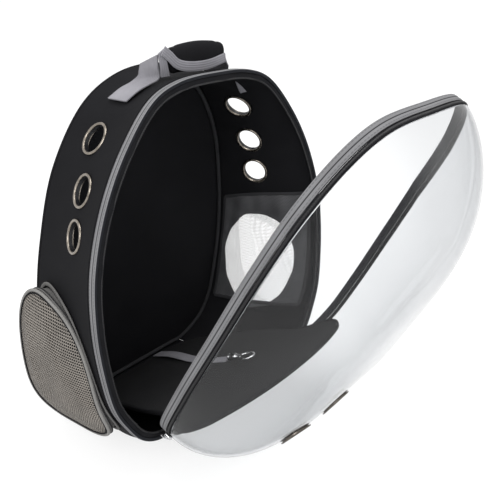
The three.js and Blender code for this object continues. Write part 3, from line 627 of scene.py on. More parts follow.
def banding(name, low, high, half, line, seam=(46, 46, 48), inner=(26, 27, 31)):
    """Folded edge band: ribbed cloth with a dark seam along its middle, stitches beside it, a dark inside."""
    mat, tree, skin, flat, patches = begin(name, 30.0, specular=0.12)
    along, across = split(tree, flat)[:2]
    across = calc(tree, "SUBTRACT", across, half)
    ribs = placed(tree, RIBS, {"Across": along, "Rib": 1.1})
    shade = mixed(tree, weighed(tree, patches, 0.6, ribs), low, high)
    near = ranged(tree, calc(tree, "ABSOLUTE", across), 0.0, 1.0, 0.2, 0.7)
    shade = mixed(tree, near, seam, shade)
    sewn = {"Along": along, "Across": across, "Step": 3.4}
    thread = calc(tree, "MAXIMUM", *(placed(tree, STITCH, {**sewn, "Line": k}) for k in (-line, line)))
    shade = mixed(tree, calc(tree, "MULTIPLY", thread, 0.4), shade, seam)
    shade = mixed(tree, calc(tree, "GREATER_THAN", across, 0.98 * half), shade, inner)
    dress(skin, shade, patches, (0.65, 0.85), calc(tree, "SUBTRACT", ribs, thread), 0.2)
    return mat


def netting(name, low, high, pitch, hole, open_holes, dark=None, painted_glow=0.0):
    """Knitted mesh: rounded threads round rows of holes, which are open or show a dark backing.

    Where it has a painted glow, the faces towards the inside of the bag glow white, painted light standing in
    for the light behind them, and the faces towards the outside take the dark colour as painted shade.
    """
    mat, tree, skin, flat, patches = begin(name, 25.0, specular=0.2)
    threads = placed(tree, NET, {"Place": flat, "Pitch": pitch, "Hole": hole})
    shade = mixed(tree, patches, low, high)
    if open_holes:
        feed(skin, {"Alpha": threads})
    else:
        shade = mixed(tree, threads, dark, shade)
    # Painted light and shade: faces towards the inside of the bag glow white, and faces towards the outside
    # are dark.
    if painted_glow:
        normal = node(tree, "ShaderNodeNewGeometry").outputs["Normal"]
        body = node(tree, "ShaderNodeTexCoord").outputs["Object"]
        sides = [split(tree, k)[0] for k in (normal, body)]
        inward = calc(tree, "LESS_THAN", calc(tree, "MULTIPLY", *sides), 0.0)
        light = mixed(tree, inward, (0, 0, 0), (255, 255, 255))
        feed(skin, {"Emission Color": light, "Emission Strength": painted_glow})
        shade = mixed(tree, inward, dark, shade)
    dress(skin, shade, patches, (0.5, 0.7), threads, 0.3)
    return mat


def strapping(name, low, high, rib=2.2, pick=0.9):
    """Woven strap: ribs along its length, fine cross threads and uneven patches."""
    mat, tree, skin, flat, patches = begin(name, 16.0, specular=0.15)
    along, across = split(tree, flat)[:2]
    ribs = placed(tree, RIBS, {"Across": across, "Rib": rib})
    picks = placed(tree, RIBS, {"Across": along, "Rib": pick})
    height = weighed(tree, ribs, 0.7, picks)
    shade = mixed(tree, weighed(tree, patches, 0.4, height), low, high)
    dress(skin, shade, patches, (0.6, 0.8), height, 0.45)
    return mat


def metal(name, low, high, rough):
    """Plated metal: slight changes of tone and gloss from handling."""
    mat, tree, skin, _, patches = begin(name, 5.0, metallic=1.0)
    dress(skin, mixed(tree, patches, low, high), patches, rough, patches, 0.03, 0.3)
    return mat


def clear_plastic(name):
    """Clear moulded plastic: a glass shader, greyer seen edge on, whose shadow lets the light through."""
    mat, tree, skin, _, patches = begin(name, 90.0, rough=0.02)
    edge_on = node(tree, "ShaderNodeLayerWeight", {"Blend": 0.5}).outputs["Facing"]
    tint = mixed(tree, calc(tree, "POWER", edge_on, 2.0), (240, 241, 242), (166, 168, 172))
    gloss = ranged(tree, patches, 0.0, 0.05)
    feed(skin, {"Base Color": tint, "Roughness": gloss, "Transmission Weight": 1.0, "IOR": 1.25})
    path = node(tree, "ShaderNodeLightPath").outputs
    through = calc(tree, "MAXIMUM", path["Is Shadow Ray"], path["Is Diffuse Ray"])
    pale = node(tree, "ShaderNodeBsdfTransparent", {0: tone(246, 248, 249)})
    both = node(tree, "ShaderNodeMixShader", {0: through, 1: skin.outputs[0], 2: pale.outputs[0]})
    feed(tree.nodes["Material Output"], {"Surface": both.outputs[0]})
    return mat


BLACK = cloth("black_canvas", (17, 17, 19), (27, 27, 29))
MAT_CLOTH = cloth("mat_cloth", (28, 28, 29), (38, 38, 39), thread=1.1, patch=30.0)
RIM_GREY = banding("rim_band", (98, 98, 100), (118, 118, 120), HALF_BINDING, 2.6)
RING_GREY = banding("ring_band", (96, 96, 98), (116, 116, 118), HALF_RING_BINDING, 3.0)
EDGE_GREY = cloth("edge_grey", (84, 83, 82), (104, 103, 102), thread=0.8, patch=20.0, specular=0.12)
PIPING = cloth("light_piping", (108, 107, 105), (126, 125, 123), thread=0.6, patch=20.0, specular=0.12)
TAPE = cloth("dark_tape", (18, 18, 20), (30, 30, 32), thread=0.7, patch=14.0, deep=0.2)
TEETH = cloth("zip_teeth", (16, 16, 18), (28, 28, 30), thread=1.4, patch=9.0, rough=(0.35, 0.5), specular=0.3)
PIPE_DARK = cloth("dark_piping", (36, 36, 38), (52, 52, 54), thread=0.6, patch=20.0, specular=0.12)
POCKET_NET = netting("pocket_net", (118, 113, 107), (142, 136, 129), 2.5, 0.44, True)
# The window net: a painted glow of 0.5 on its faces towards the inside, painted shade on its faces towards
# the outside.
WINDOW_NET = netting("window_net", (225, 225, 225), (242, 242, 242), 1.5, 0.38, True, (40, 40, 41), 0.5)
INNER_NET = netting("inner_net", (64, 64, 66), (92, 92, 94), 1.8, 0.34, False, (24, 24, 26))
WEB_GREY = strapping("grey_webbing", (105, 104, 109), (138, 137, 142))
WEB_BLACK = strapping("black_webbing", (18, 18, 20), (32, 32, 34))
NICKEL = metal("nickel", (112, 105, 96), (160, 152, 142), (0.2, 0.36))
VENT_METAL = metal("dark_nickel", (70, 66, 62), (104, 99, 94), (0.25, 0.4))
STEEL = metal("steel", (176, 176, 178), (214, 214, 216), (0.16, 0.3))
CLEAR = clear_plastic("clear_plastic")


# Body
def eyelet_places():
    """Middle and outward direction of each side eyelet, at half the wall's thickness."""
    places = {}
    for name, side in SIDES:
        height, depth = np.array(EYELET_ROWS[name]).T
        run = mirrored(solve(lambda r: wall_point(r, depth)[..., 2], height, 0, 0.5), side)
        spots = zip(wall(run, depth, -CLOTH / 2), wall_normal(run, depth))
        places.update({f"eyelet_{name}_{k}": spot for k, spot in enumerate(spots, 1)})
    return places


def corner_mean(values):
    return (values[:-1, :-1] + values[1:, :-1] + values[1:, 1:] + values[:-1, 1:]) / 4


def cut_holes(grid, places, reach):
    """Cells left when an eyelet's hole is cut at each place; points near its edge are drawn on to it."""
    radius = EYELET["seat"]
    zone = 3 * radius
    keep = np.ones((grid.shape[0] - 1, grid.shape[1] - 1), bool)
    for middle, normal in places.values():
        flat = grid - middle
        flat = flat - (flat @ normal)[..., None] * normal
        away = np.linalg.norm(flat, axis=-1)
        close = (np.abs(away - radius) < reach) & (np.linalg.norm(grid - middle, axis=-1) < zone)
        grid[close] += flat[close] * (radius / away[close] - 1)[:, None]
        far = np.linalg.norm(grid - middle, axis=-1) > zone
        away = np.where(far, 3 * zone, np.where(close, radius, away))
        keep &= corner_mean(away) > radius - 0.4
    return keep


def pocket_reach(run, depth):
    """Share of the way from a pocket's middle to its edge at a place on the wall, closed in on by steps."""
    along, up = np.minimum(run, 1 - run) * RIM_ARCH.length - POCKET["run"], np.zeros(run.shape)
    for _ in range(6):
        back = np.clip((depth - POCKET["depth"] - POCKET["lean"] * up) / POCKET["half_depth"], -1.5, 1.5)
        up = np.clip((along - POCKET["tilt"] * back) / (POCKET["half_run"] + POCKET["taper"] * back), -3, 3)
    return (np.abs(back) ** POCKET["square"] + np.abs(up) ** POCKET["square"]) ** (1 / POCKET["square"])


def body_wall(eyelets):
    """The side wall with a gentle ripple that dies out at its edges, at the holes and low down."""
    run, depth = lattice(400, 60)
    still = wall_point(run, depth)
    calm = np.ones(run.shape)
    for middle, _ in eyelets.values():
        away = np.linalg.norm(still - middle, axis=-1) - EYELET["outer"]
        calm = np.minimum(calm, np.clip(away / RIPPLE_FADE["hole"], 0, 1))
    calm *= np.clip((still[..., 2] - RIPPLE_FADE["z"]) / RIPPLE_FADE["rise"], 0, 1) * np.sin(np.pi * depth)
    grid = wall(run, depth, waves(WALL_RIPPLE, TURN * run, TURN * depth) * calm)
    keep = cut_holes(grid, eyelets, 1.6)
    y, z = ((grid[..., k] - WINDOW[n]) / WINDOW["half_" + n] for k, n in ((1, "y"), (2, "z")))
    under_pocket = corner_mean(pocket_reach(run, depth)) <= WINDOW["under_pocket"]
    keep &= (corner_mean(np.hypot(y, z)) > 1) | ~under_pocket
    piece("body_wall", grid, BLACK, ["gusset"], thick=CLOTH, keep=keep)


def pad_rows(thick, edge, inner, rim=8):
    """Reach and depth of a pad's section, from one face's middle round its edge to the other's."""
    turn = np.linspace(-np.pi / 2, np.pi / 2, rim + 1)
    share = np.sin(np.linspace(0, np.pi / 2, inner + 1))[:-1]
    flat = 1 - edge
    reach = np.concatenate([share * flat, flat + edge * np.cos(turn), (share * flat)[::-1]])
    depth = np.concatenate([0 * share, thick * (np.sin(turn) + 1) / 2, thick + 0 * share])
    return reach, depth


def back_panel():
    """The padded back: its outline shrunk towards its middle, bulging as a parabola, with sewn channels."""
    reach, depth = pad_rows(1.0, PAD_EDGE, 30)
    p = BACK_LOOP.at(np.linspace(0, 1, 201))
    x = p[:, :1] * reach
    height = np.maximum(BACK_MIDDLE + (p[:, 1:] - BACK_MIDDLE) * reach, -BASE_RISE)
    bulge = BACK_BULGE * (1 - np.minimum(reach, 1) ** 2)
    sewn = BACK_CHANNEL
    channels = swell(np.abs(x), sewn["x"], sewn["half"]) + swell(reach, sewn["reach"], sewn["half_reach"])
    out = depth * (BACK_PAD + bulge - sewn["deep"] * np.minimum(channels, 1) * (reach < sewn["last"]))
    made = piece("back_pad", BACK.at(x, height, -out), BLACK, ["back_panel"])


def base_panel():
    """The stiff base: a sheet that tapers to the back and whose front rises in a bow to the rim."""
    share, across = lattice(90, 24)
    front, rear = WALL_FRONT + BASE_LAP["front"], BACK_Y + BASE_LAP["rear"]
    y = front + (rear - front) * share
    depth = np.minimum((y - WALL_FRONT) / (BACK_Y - WALL_FRONT), 1)
    half = RIM_BASE_HALF + (BASE_HALF - RIM_BASE_HALF) * depth - BASE_LAP["side"]
    grid = np.stack([half * (2 * across - 1), y, RIM_BASE * bow_rise(depth)], axis=-1)
    piece("base_panel", grid, BLACK, ["bottom_panel"], thick=CLOTH)


def edge_band(name, node_name, bed, line, half, finish, outside=25, inside=9):
    """A folded band carried round an outline: two rounded rolls side by side outside, flat inside.

    Its flat measure runs along the outline, and across from its rear edge round to its inside.
    """
    b = np.linspace(-half, half, outside)
    roll = np.sqrt(np.clip(1 - ((np.abs(b) - half / 2) / (half / 2)) ** 2, 0, 1))
    outer = np.stack([-BINDING_GROOVE + BINDING_GROOVE * roll, b], -1)
    inner = np.stack([np.full(inside, -BINDING_THICK), np.linspace(half - 0.4, 0.4 - half, inside)], -1)
    grid = carried(bed, line, np.linspace(0, 1, 401), np.concatenate([outer, inner, outer[:1]]))
    u = np.linspace(0, line.length, grid.shape[0])
    v = [np.linspace(0, 2 * half, outside), np.linspace(2.2 * half, 4 * half, inside), [4 * half]]
    flat = np.stack(np.meshgrid(u, np.concatenate(v), indexing="ij"), axis=-1)
    piece(name, grid, finish, [node_name], flat=flat, sharp=70)


def teeth_tube(middle, out, front, half, teeth, beat):
    """A zip coil: an oval tube whose size beats once for each tooth."""
    size = 1 - beat + beat * np.cos(TURN * np.linspace(0, teeth, len(middle)))
    return spread(middle, out, front, oval(*half, 6) * size[:, None, None])


def zip_round(name, node_name, bed, line, sizes):
    """A zip tape round an outline, slightly wavy, with its coil of teeth."""
    shares = np.linspace(0, 1, 401)
    wave = sizes["wave"] * waves(TAPE_WAVES, TURN * shares, 0)
    section = oval(*sizes["half"], 16, 6, sizes["centre"]) + np.stack([0 * wave, wave], -1)[:, None]
    piece(name, carried(bed, line, shares, section), TAPE, [node_name])
    teeth = line.length / TOOTH["pitch"]
    point, out = edge_of(bed, line, np.linspace(0, 1, int(teeth) * 4 + 1))
    middle = point + sizes["coil_centre"][0] * out + sizes["coil_centre"][1] * bed.front
    coil = teeth_tube(middle, out, bed.front, sizes["coil"], teeth, TOOTH["beat"])
    piece(name + "_teeth", coil, TEETH, sharp=80)


def back_piping():
    """The piped seam inside the back corner: a round cord carried along the back's outline."""
    centre = (-CLOTH - 5 * GAP - SEAM_CORD, 2 * GAP + SEAM_CORD)
    cord = carried(BACK, BACK_LOOP, np.linspace(0, 1, 321), oval(SEAM_CORD, SEAM_CORD, 12, centre=centre))
    piece("back_piping", cord, PIPE_DARK, ["back_seam"])


def turned(profile, middle, axis, sides=48):
    """A profile of radius and height turned about an axis, from any direction that is off the axis."""
    side = unit(np.cross(axis, [0.31, 0.83, 0.47]))
    turn = np.linspace(0, TURN, sides + 1)[:, None, None]
    spoke = np.cos(turn) * side + np.sin(turn) * np.cross(axis, side)
    return middle + spoke * profile[None, :, :1] + axis * profile[None, :, 1:]


def eyelet_section(lip):
    """A rolled ring: a half-round lip on each face of the wall, joined by a barrel."""
    middle, half = (EYELET["outer"] + EYELET["hole"]) / 2, (EYELET["outer"] - EYELET["hole"]) / 2
    turn = np.linspace(np.pi, 0, 13)
    top = np.stack([middle + half * np.cos(turn), lip + EYELET["rim"] * np.sin(turn) ** 0.7], -1)
    barrel = np.array([[EYELET["barrel"], lip], [EYELET["barrel"], -lip]])
    return np.concatenate([top, barrel, top[::-1] * [1, -1], top[:1]])


def eyelet_shade_tube(lip):
    """Painted shade in an eyelet's hole: a thin dark tube, not a part of the real eyelet, that darkens the
    hole's inside.
    """
    inner = EYELET["hole"] - EYELET["shade_tube"]
    outer = inner + EYELET["shade_tube_wall"]
    return np.array([(inner, -lip), (outer, -lip), (outer, lip), (inner, lip), (inner, -lip)])


def eyelet_rings(places, thick, finish):
    """An eyelet at each place in a wall, with a dark tube in its hole that paints shade there."""
    lip = thick / 2 + EYELET["lap"]
    for name, (middle, normal) in places.items():
        piece(name + "_metal", turned(eyelet_section(lip), middle, normal), finish, [name])
        # A dark tube in the hole: painted shade for the inside of the eyelet.
        piece(name + "_shade_tube", turned(eyelet_shade_tube(lip), middle, normal), TEETH)


# Dome
def dome_point(turn, angle):
    """The dome: its ring shrunk towards the crown as a rounded power of depth, angle running to the crown."""
    depth = np.sin(angle) ** (2 / DOME["rise"])
    shrink = np.clip(np.cos(angle), 0, 1) ** (2 / DOME["round"])
    p, slope = RING_LOOP.at(turn), RING_LOOP.along(turn)
    start = HALF_RING_BINDING + RING_TAPE + 2 * GAP
    x = (p[..., 0] - DOME["inset"] * slope[..., 1]) * shrink
    h = p[..., 1] + DOME["inset"] * slope[..., 0]
    height = DOME["centre"] - DOME["drop"] * depth + (h - DOME["centre"]) * shrink
    return RING.at(x, height, start + (DOME["depth"] - start) * depth)


def vent_places(aside=0.01, above=0.02):
    """Middle and outward direction of the two air holes low on the dome, from small steps both ways."""
    places = {}
    for name, (turn, depth) in VENT_ROWS.items():
        angle, low, high = (math.asin((depth + k) ** (DOME["rise"] / 2)) for k in (0, -above, above))
        along = dome_point(turn + aside, angle) - dome_point(turn - aside, angle)
        normal = unit(np.cross(dome_point(turn, high) - dome_point(turn, low), along))
        normal = normal * -np.sign(normal[2])
        places[f"dome_vent_{name}"] = (dome_point(turn, angle) - normal * DOME["wall"] / 2, normal)
    return places


def dome_shell(vents):
    """The clear dome on a fine grid, with the two air holes cut in it."""
    turn, way = lattice(280, 84)
    grid = dome_point(turn, way * np.pi / 2)
    keep = cut_holes(grid, vents, 1.9)
    inside = RING.at(0, DOME["centre"], 20)
    piece("dome", grid, CLEAR, ["dome_shell"], thick=DOME["wall"], inside=inside, keep=keep)


def hinge_lip():
    """The cloth lip between the rim's base and the ring's base, puckered in soft folds between its seams."""
    across, up = lattice(140, 20)
    turn = (across - 0.5) * LIP["share"]
    fold = np.sin(np.pi * up) * (LIP["swell"] + waves(LIP_FOLDS, TURN * across, up))
    low, low_out = edge_of(RIM, RIM_LOOP, turn)
    low = low - LIP["tuck"] * low_out + (HALF_BINDING + GAP + LIP["front"]) * RIM.front
    high, high_out = edge_of(RING, RING_LOOP, turn)
    high = high + 1.5 * GAP * high_out + RING.front
    grid = low + (high - low) * up[..., None] + fold[..., None] * RIM.front
    made = piece("hinge_lip", grid, BLACK, ["hinge_cloth"], thick=LIP["thick"])


def zip_slider():
    """The slider's rounded body and its pull, parked low on the left of the ring."""
    point, out = edge_of(RING, RING_LOOP, SLIDER_SHARE)
    along = np.cross(RING.front, out)
    middle = point + (HALF_RING_BINDING + GAP + RING_TAPE / 2) * RING.front
    grids = []
    for length, width, thick, lift, shift, square in SLIDER_ROWS:
        reach, depth = pad_rows(thick, 0.16, 5, 6)
        flat = oval(length / 2, width / 2, 32, square)[:, None] * reach[None, :, None]
        at = middle + out * (GAP - 0.6 + lift) + along * shift
        grids.append(at + flat[..., :1] * along + flat[..., 1:] * RING.front + depth[None, :, None] * out)
    piece("zip_slider_metal", grids, STEEL, ["zip_slider"])


# Inside
def floor_mat():
    """The mat: its outline shrunk towards its middle, with shallow dents, and a bound edge."""
    turn = np.linspace(0, 1, 241)
    p, slope = MAT_LOOP.at(turn), MAT_LOOP.along(turn)
    inset = MAT["binding"] + GAP
    reach, depth = pad_rows(MAT["thick"], PAD_EDGE, 28)
    x = (p[:, :1] - inset * slope[:, 1:]) * reach
    height = MAT["middle"] + (p[:, 1:] + inset * slope[:, :1] - MAT["middle"]) * reach
    up = depth - (0.5 + waves(MAT_DENTS, x, height)) * (depth > 0.9 * MAT["thick"])
    made = piece("floor_mat_pad", MAT_BED.at(x, height, -up), MAT_CLOTH, ["floor_mat"])
    half, middle = MAT["binding"] / 2, MAT["thick"] / 2
    edge = carried(MAT_BED, MAT_LOOP, turn, oval(half, middle + 0.5, 16, 3, (-half, -middle)))
    piece("floor_mat_edge", edge, BLACK, ["mat_binding"])


def window_edge(side, turn, reach):
    """Run and depth on the wall at a share of the way to the window's oval edge, slightly wavy."""
    wavy = reach * (1 + waves(WINDOW_WAVES, turn, 0))
    y = WINDOW["y"] + wavy * WINDOW["half_y"] * np.cos(turn)
    return wall_place(side, y, WINDOW["z"] + wavy * WINDOW["half_z"] * np.sin(turn))


def ring_slope(points):
    """Directions along a closed ring of points."""
    step = np.roll(points[:-1], -1, axis=0) - np.roll(points[:-1], 1, axis=0)
    return unit(np.concatenate([step, step[:1]]))


def inner_panel(name, side):
    """Mesh lining of the lower side: from the window out to a rounded box, with upright folds and a hem."""
    turn, out = np.linspace(0, TURN, 181)[:, None], np.linspace(0, 1, 37)[None, :]
    c, s = np.cos(turn), np.sin(turn)
    stretch = np.maximum(np.abs(c), np.abs(s)) ** -INNER_MESH["square"]
    wavy = INNER_TOP["wave"] * np.sin(INNER_TOP["rate"] * c * stretch + INNER_TOP["start"])
    wavy = wavy * np.clip(s * stretch - INNER_TOP["above"], 0, 1)
    run0, depth0 = window_edge(1, turn, 1.0)
    run1 = (INNER_MESH["run"] + INNER_MESH["half_run"] * s * stretch + wavy) / RIM_ARCH.length
    depth1 = 0.5 + (0.5 - INNER_MESH["margin"]) * c * stretch
    run, depth = run0 + (run1 - run0) * out, depth0 + (depth1 - depth0) * out
    flat = wall_point(run, depth)[..., 1:]
    y, z = flat[..., 0], flat[..., 1]
    folds = np.sin(np.pi * out) * np.clip((z - INNER_MESH["fold_z"]) / INNER_MESH["rise"], 0, 1)
    folds = folds * (1.4 + waves(INNER_FOLDS, y, z))
    run = mirrored(run, side)
    grid = wall(run, depth, -CLOTH - INNER_MESH["clear"] - folds)
    stands_for = [f"inner_mesh_{name}"]
    piece(f"inner_mesh_panel_{name}", grid, INNER_NET, stands_for, flat=flat, thick=0.8)
    normal = wall_normal(run[:, -1], depth[:, -1])
    across = np.cross(ring_slope(grid[:, -1]), normal)
    hem = spread(grid[:, -1] - INNER_HEM["back"] * normal, across, normal, oval(*INNER_HEM["half"], 10))
    piece(f"inner_mesh_hem_{name}", hem, PIPE_DARK)


def window_net(name, side):
    """Sheer net across the window, drawn in a little, with one long crease."""
    turn, reach = np.linspace(0, TURN, 121)[:, None], np.linspace(0, WINDOW["net_reach"], 25)[None, :]
    run, depth = window_edge(side, turn, reach)
    point = wall_point(run, depth)
    sag = WINDOW_CREASE["sag"] + WINDOW_CREASE["deep"] * crease(point, WINDOW_CREASE)
    net = wall(run, depth, -CLOTH - WINDOW["net_back"] - (1 - reach**2) * sag)
    piece(f"window_net_{name}", net, WINDOW_NET, flat=point[..., 1:], thick=0.4)


def tether():
    """The flat tether along the mat, and its snap hook: a turned swivel, a wire ring and a thumb catch."""
    def on(x, height, lift):
        return MAT_BED.at(x, height, -MAT["thick"] - GAP - lift)

    points = [on(x, height, TETHER["thick"] / 2 + lift) for x, height, lift in TETHER_ROWS]
    strap = swept(points, ACROSS, oval(TETHER["width"] / 2, TETHER["thick"] / 2, 20, 5), 60)
    piece("tether_webbing", strap, WEB_GREY, ["tether_strap"])
    x, height, _ = TETHER_ROWS[-1]
    end = on(x, height + 2 * GAP, CLIP["barrel"])
    axis = unit(on(x + 4, height + 32, CLIP["barrel"]) - end)
    side = unit(np.cross(UPRIGHT, axis))
    face = np.cross(axis, side)
    swivel = turned(np.array(CLIP_ROWS) * [CLIP["barrel"], 1], end, axis, 24)
    turn = np.linspace(0, TURN, 49)[:, None, None]
    spoke = np.cos(turn) * axis * CLIP["stretch"] + np.sin(turn) * side
    wire = oval(CLIP["wire"], CLIP["wire"], 10)
    ring = end + axis * (CLIP["length"] - 6) + spoke * (CLIP["ring"] + wire[:, :1]) + wire[:, 1:] * face
    catch = swept([end + axis * up + side * off for up, off in CATCH_ROWS], face, oval(1.1, 1.1, 10), 12)
    piece("tether_hook", [swivel, ring, catch], STEEL, ["tether_clip"])


def inner_tab():
    """A loose corner of webbing under the top of the right wall: a triangle that narrows downwards."""
    depth, lift = INNER_TAB["depth"], -CLOTH - INNER_TAB["clear"]
    centre = run_over_top(INNER_TAB["x"], wall_point(INNER_TAB["run"], depth)[1])
    way, down = lattice(12, 12)
    top = wall(centre + (2 * way - 1) * INNER_TAB["half"] / RIM_ARCH.length, depth, lift)
    tip = wall(centre, depth, lift) - INNER_TAB["drop"] * UPRIGHT
    grid = top + (tip - top) * down[..., None] * 0.97
    grid[..., 1] += 0.6 * np.sin(3 * down)
    thick, behind = INNER_TAB["thick"], BAG_MIDDLE + 400 * REARWARD
    piece("inner_tab_webbing", grid, WEB_GREY, ["inner_tab"], thick=thick, inside=behind)


# Side pockets
def pocket_spot(turn, reach):
    """How far back and up a place on the pocket is, as shares of its half sizes: a rounded square."""
    return (reach * squared(k, POCKET["square"]) for k in (np.cos(turn), np.sin(turn)))


def pocket_seat(side, turn, reach):
    """Run and depth on the wall under a place on the pocket: taller at its rear, leaning back as it rises."""
    back, up = pocket_spot(turn, reach)
    run = POCKET["run"] + (POCKET["half_run"] + POCKET["taper"] * back) * up + POCKET["tilt"] * back
    depth = POCKET["depth"] + POCKET["half_depth"] * back + POCKET["lean"] * up
    return mirrored(run / RIM_ARCH.length, side), depth


def pocket_foot(side, turn, reach):
    """A place just off the wall under the pocket."""
    return wall(*pocket_seat(side, turn, reach), POCKET_SIDE["seat"])


def pocket_face(side, turn, reach, lift):
    """The pocket's face: further off the wall at its rear and foot, bulging to its middle."""
    back, up = pocket_spot(turn, reach)
    off = POCKET_SIDE["stand"] + POCKET_SIDE["flare"] * back - POCKET_SIDE["fall"] * up
    off = off + POCKET_SIDE["bulge"] * (1 - reach**2.2) + lift
    face = pocket_foot(side, turn, reach)
    face[..., 0] += side * off
    return face


def pocket_ring(side, turn):
    """Foot and edge of the pocket's side band at each turn, with the directions out of the band and up it."""
    edge, foot = pocket_face(side, turn, 1.0, 0.0), pocket_foot(side, turn, POCKET_SIDE["foot"])
    rise = unit(edge - foot)
    out = unit(np.cross(ring_slope(edge), rise))
    return foot, edge, out * np.sign((out * (edge - edge.mean(axis=0))).sum()), rise


def side_pocket(name, side):
    """A mesh pod: a grey side band with a zip round it, light piping at its edge and a bulging mesh face."""
    turn = np.linspace(0, TURN, 241)
    inside = np.array(POCKET_INSIDE) * [side, 1, 1]
    reach = np.linspace(0, POCKET_REACH["net"], 31)[None, :]
    net = pocket_face(side, turn[:, None], reach, POCKET_LIFT["net"])
    net[..., 0] += side * POCKET_RIDGE["tall"] * crease(net, POCKET_RIDGE) * (1 - reach**2)
    piece(
        f"pocket_face_{name}", net, POCKET_NET, [f"pocket_mesh_{name}"],
        flat=net[..., 1:], thick=POCKET_SHEET["net"], inside=inside,
    )
    foot, edge, out, rise = pocket_ring(side, turn)
    band = foot[:, None] + (edge - foot)[:, None] * np.linspace(0, 1, 13)[None, :, None]
    piece(f"pocket_band_{name}", band, EDGE_GREY, thick=POCKET_SHEET["band"], inside=inside)
    piping = spread(edge + POCKET_LIFT["piping"] * out, out, rise, oval(*POCKET_CORD["piping"], 14))
    piece(f"pocket_piping_{name}", piping, PIPING)
    middle = pocket_face(side, turn, POCKET_REACH["seam"], POCKET_LIFT["seam"])
    seam = spread(middle, out, rise, oval(*POCKET_CORD["seam"], 8))
    piece(f"pocket_seam_{name}", seam, TAPE)
    middle = foot + (edge - foot) * POCKET_ZIP["up"] + POCKET_LIFT["tape"] * out
    tape = spread(middle, out, rise, oval(*POCKET_CORD["tape"], 14, 6))
    piece(f"pocket_zip_tape_{name}", tape, EDGE_GREY, [f"pocket_zip_{name}"])
    foot, edge, out, rise = pocket_ring(side, np.linspace(0, TURN, 4 * POCKET_ZIP["teeth"] + 1))
    middle = foot + (edge - foot) * POCKET_ZIP["up"] + POCKET_LIFT["coil"] * out
    teeth = teeth_tube(middle, out, rise, POCKET_CORD["coil"], POCKET_ZIP["teeth"], POCKET_ZIP["beat"])
    piece(f"pocket_zip_teeth_{name}", teeth, TEETH, sharp=80)
    base, normal = pocket_foot(side, turn, 1.0), wall_normal(*pocket_seat(side, turn, 1.0))
    across = unit(np.cross(ring_slope(base), normal))
    bind = spread(base, across, normal, oval(*POCKET_CORD["base"], 16, 2.6, (0, POCKET_LIFT["base"])))
    piece(f"pocket_base_band_{name}", bind, EDGE_GREY, [f"pocket_binding_{name}"])


# Handle and straps
def handle():
    """The padded grip: a rounded section along a bow, drawn in at its ends, with trim and webbing."""
    y, z, end = GRIP["y"], GRIP["z"], GRIP["length"] / 2
    bend = [(-end, y, z - GRIP["bow"]), (0, y, z), (end, y, z - GRIP["bow"])]
    off = np.abs(2 * np.linspace(0, 1, 91) - 1)
    size = np.maximum((1 - off**9) ** 0.33, GRIP["end"]) * narrowed(off, GRIP_PINCH)
    section = size[:, None, None] * oval(GRIP["thick"] / 2, GRIP["tall"] / 2, 40, 2.6)
    grip = piece("handle_pad", swept(bend, REARWARD, section, 90), BLACK, ["handle_grip"])
    edge_y, low = y - GRIP["thick"] / 2 - GAP - GRIP_TRIM["clear"], z - GRIP["tall"] / 2 + GRIP_TRIM["up"]
    dip = [(x, edge_y, low + up) for x, up in HANDLE_TRIM]
    trim = swept(dip, UPRIGHT, oval(*GRIP_TRIM["half"], 16, 4), 80)
    piece("handle_edge", trim, WEB_GREY, ["handle_trim"])
    tail = between(*(np.array(HANDLE_TAIL)[:, k:k + 3] for k in (0, 3)))
    piece("handle_tail", tail, WEB_GREY, thick=GRIP_TRIM["tail"])
    rows = np.array(HANDLE_FOOT, float)
    for name, side in SIDES:
        edges = []
        for k in (0, 1):
            x, at_y = rows[:, 2 * k], rows[:, 2 * k + 1]
            run = run_over_top(x, at_y)
            foot = wall(mirrored(run, side), depth_at(run, at_y), WEBBING["lie"] + WEBBING["thick"])
            edges.append(np.concatenate([np.array(HANDLE_FALL[name], float)[:, 3 * k:3 * k + 3], foot]))
        stands_for = [f"handle_strap_{name}"]
        sheet = between(*edges)
        piece(f"handle_webbing_{name}", sheet, WEB_GREY, stands_for, thick=WEBBING["thick"])


def shoulder_straps():
    """Padded straps down the back, crowned across, grooved near their edges and rounded at their ends."""
    base = oval(STRAP["width"] / 2, STRAP["thick"] / 2, 48, 2.4)
    base[:, 1] *= narrowed(np.abs(base[:, 0]), STRAP_GROOVE)
    draw = np.clip(1 - np.abs(2 * np.linspace(0, 1, 121) - 1) ** 14, 0, 1) ** 0.4
    padded = base * np.maximum(draw, STRAP["end"])[:, None, None] ** np.array([1.0, 0.5])
    webbing = oval(STRAP["webbing"] / 2, WEBBING["thick"] / 2, 24, 6)
    for name, side in SIDES:
        def behind(rows, thick):
            x, height, gap = np.array(rows, float).T
            face = BACK.at(0 * x, height, -BACK_PAD - BACK_BULGE - GAP)[:, 1]
            return np.stack([side * x, face + gap + thick / 2, height], -1)

        grid = swept(behind(STRAP_ROWS, STRAP["thick"]), ACROSS, padded, 120)
        pad = piece(f"shoulder_pad_{name}", grid, BLACK, [f"shoulder_strap_{name}"])
        grid = swept(behind(STRAP_WEB_ROWS, WEBBING["thick"]), ACROSS, webbing, 60)
        piece(f"shoulder_web_{name}", grid, WEB_BLACK, [f"shoulder_webbing_{name}"])


# Stage
def put(name, data, right, up, back, spot):
    """A camera or lamp at a spot, given by its three directions."""
    made = added(name, data)
    place = np.eye(4)
    place[:3, :4] = np.stack([right, up, back, spot], axis=1)
    made.matrix_world = Matrix(place.tolist())
    return made


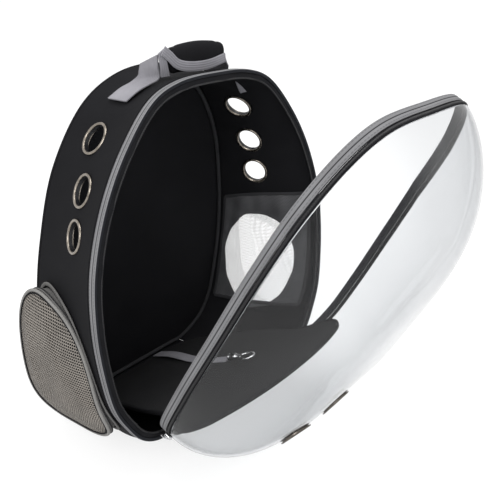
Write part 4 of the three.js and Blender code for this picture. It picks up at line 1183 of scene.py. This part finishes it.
def camera():
    """The photograph's view: round the bag, above it and rolled a little."""
    turn, rise, roll = (math.radians(VIEW[k]) for k in ("turn", "rise", "roll"))
    back = np.array([math.sin(turn) * math.cos(rise), -math.cos(turn) * math.cos(rise), math.sin(rise)])
    right = unit(np.cross(UPRIGHT, back))
    up = np.cross(back, right)
    right, up = right * math.cos(roll) + up * math.sin(roll), up * math.cos(roll) - right * math.sin(roll)
    lens = bpy.data.cameras.new("photo_view")
    lens.lens = VIEW["lens"]
    lens.sensor_width = 36
    lens.shift_x, lens.shift_y = VIEW["shift"]
    lens.clip_start = 0.01
    spot = (VIEW["height"] * UPRIGHT + VIEW["away"] * back + SHIFT) * MM
    bpy.context.scene.camera = put("photo_view", lens, right, up, back, spot)


def lamp(name, spot, size, power):
    """A round soft lamp that faces the bag."""
    light = bpy.data.lights.new(name, "AREA")
    light.shape = "DISK"
    light.size = size
    light.energy = power
    back = unit(np.array(spot) - LIT_PLACE)
    right = unit(np.cross([0.02, 0.01, 1.0], back))
    put(name, light, right, np.cross(back, right), back, spot)


def studio():
    """A pale floor under even white light, with soft lamps from the left and above."""
    world = bpy.data.worlds.new("studio")
    bpy.context.scene.world = world
    world.use_nodes = True
    feed(world.node_tree.nodes["Background"], {"Color": (1, 1, 1, 1), "Strength": SKY_LIGHT})
    mat, tree, skin, _, patches = begin("floor_paint", 800.0, rough=0.9, specular=0.1)
    shade = mixed(tree, patches, (142, 142, 142), (146, 146, 146))
    feed(skin, {"Base Color": shade, "Emission Color": (1, 1, 1, 1), "Emission Strength": FLOOR_GLOW})
    mesh = bpy.data.meshes.new("floor")
    corners = [(x * FLOOR_HALF, y * FLOOR_HALF, 0) for x, y in ((-1, -1), (1, -1), (1, 1), (-1, 1))]
    mesh.from_pydata(corners, [], [(0, 1, 2, 3)])
    mesh.uv_layers.new(name="flat")
    mesh.materials.append(mat)
    floor = added("floor", mesh)
    for row in LAMPS:
        lamp(*row)
    bpy.context.scene.view_settings.view_transform = "Standard"


camera()
eyelets, vents = eyelet_places(), vent_places()
body_wall(eyelets)
back_panel()
base_panel()
back_piping()
edge_band("rim_band", "rim_binding", RIM, RIM_LOOP, HALF_BINDING, RIM_GREY)
zip_round("rim_zip", "rim_tape", RIM, RIM_LOOP, RIM_ZIP)
edge_band("ring_band", "dome_binding", RING, RING_LOOP, HALF_RING_BINDING, RING_GREY)
zip_round("ring_zip", "dome_tape", RING, RING_LOOP, RING_ZIP)
dome_shell(vents)
eyelet_rings(eyelets, CLOTH, NICKEL)
eyelet_rings(vents, DOME["wall"], VENT_METAL)
hinge_lip()
zip_slider()
floor_mat()
for name, side in SIDES:
    inner_panel(name, side)
    window_net(name, side)
    side_pocket(name, side)
tether()
inner_tab()
handle()
shoulder_straps()
studio()
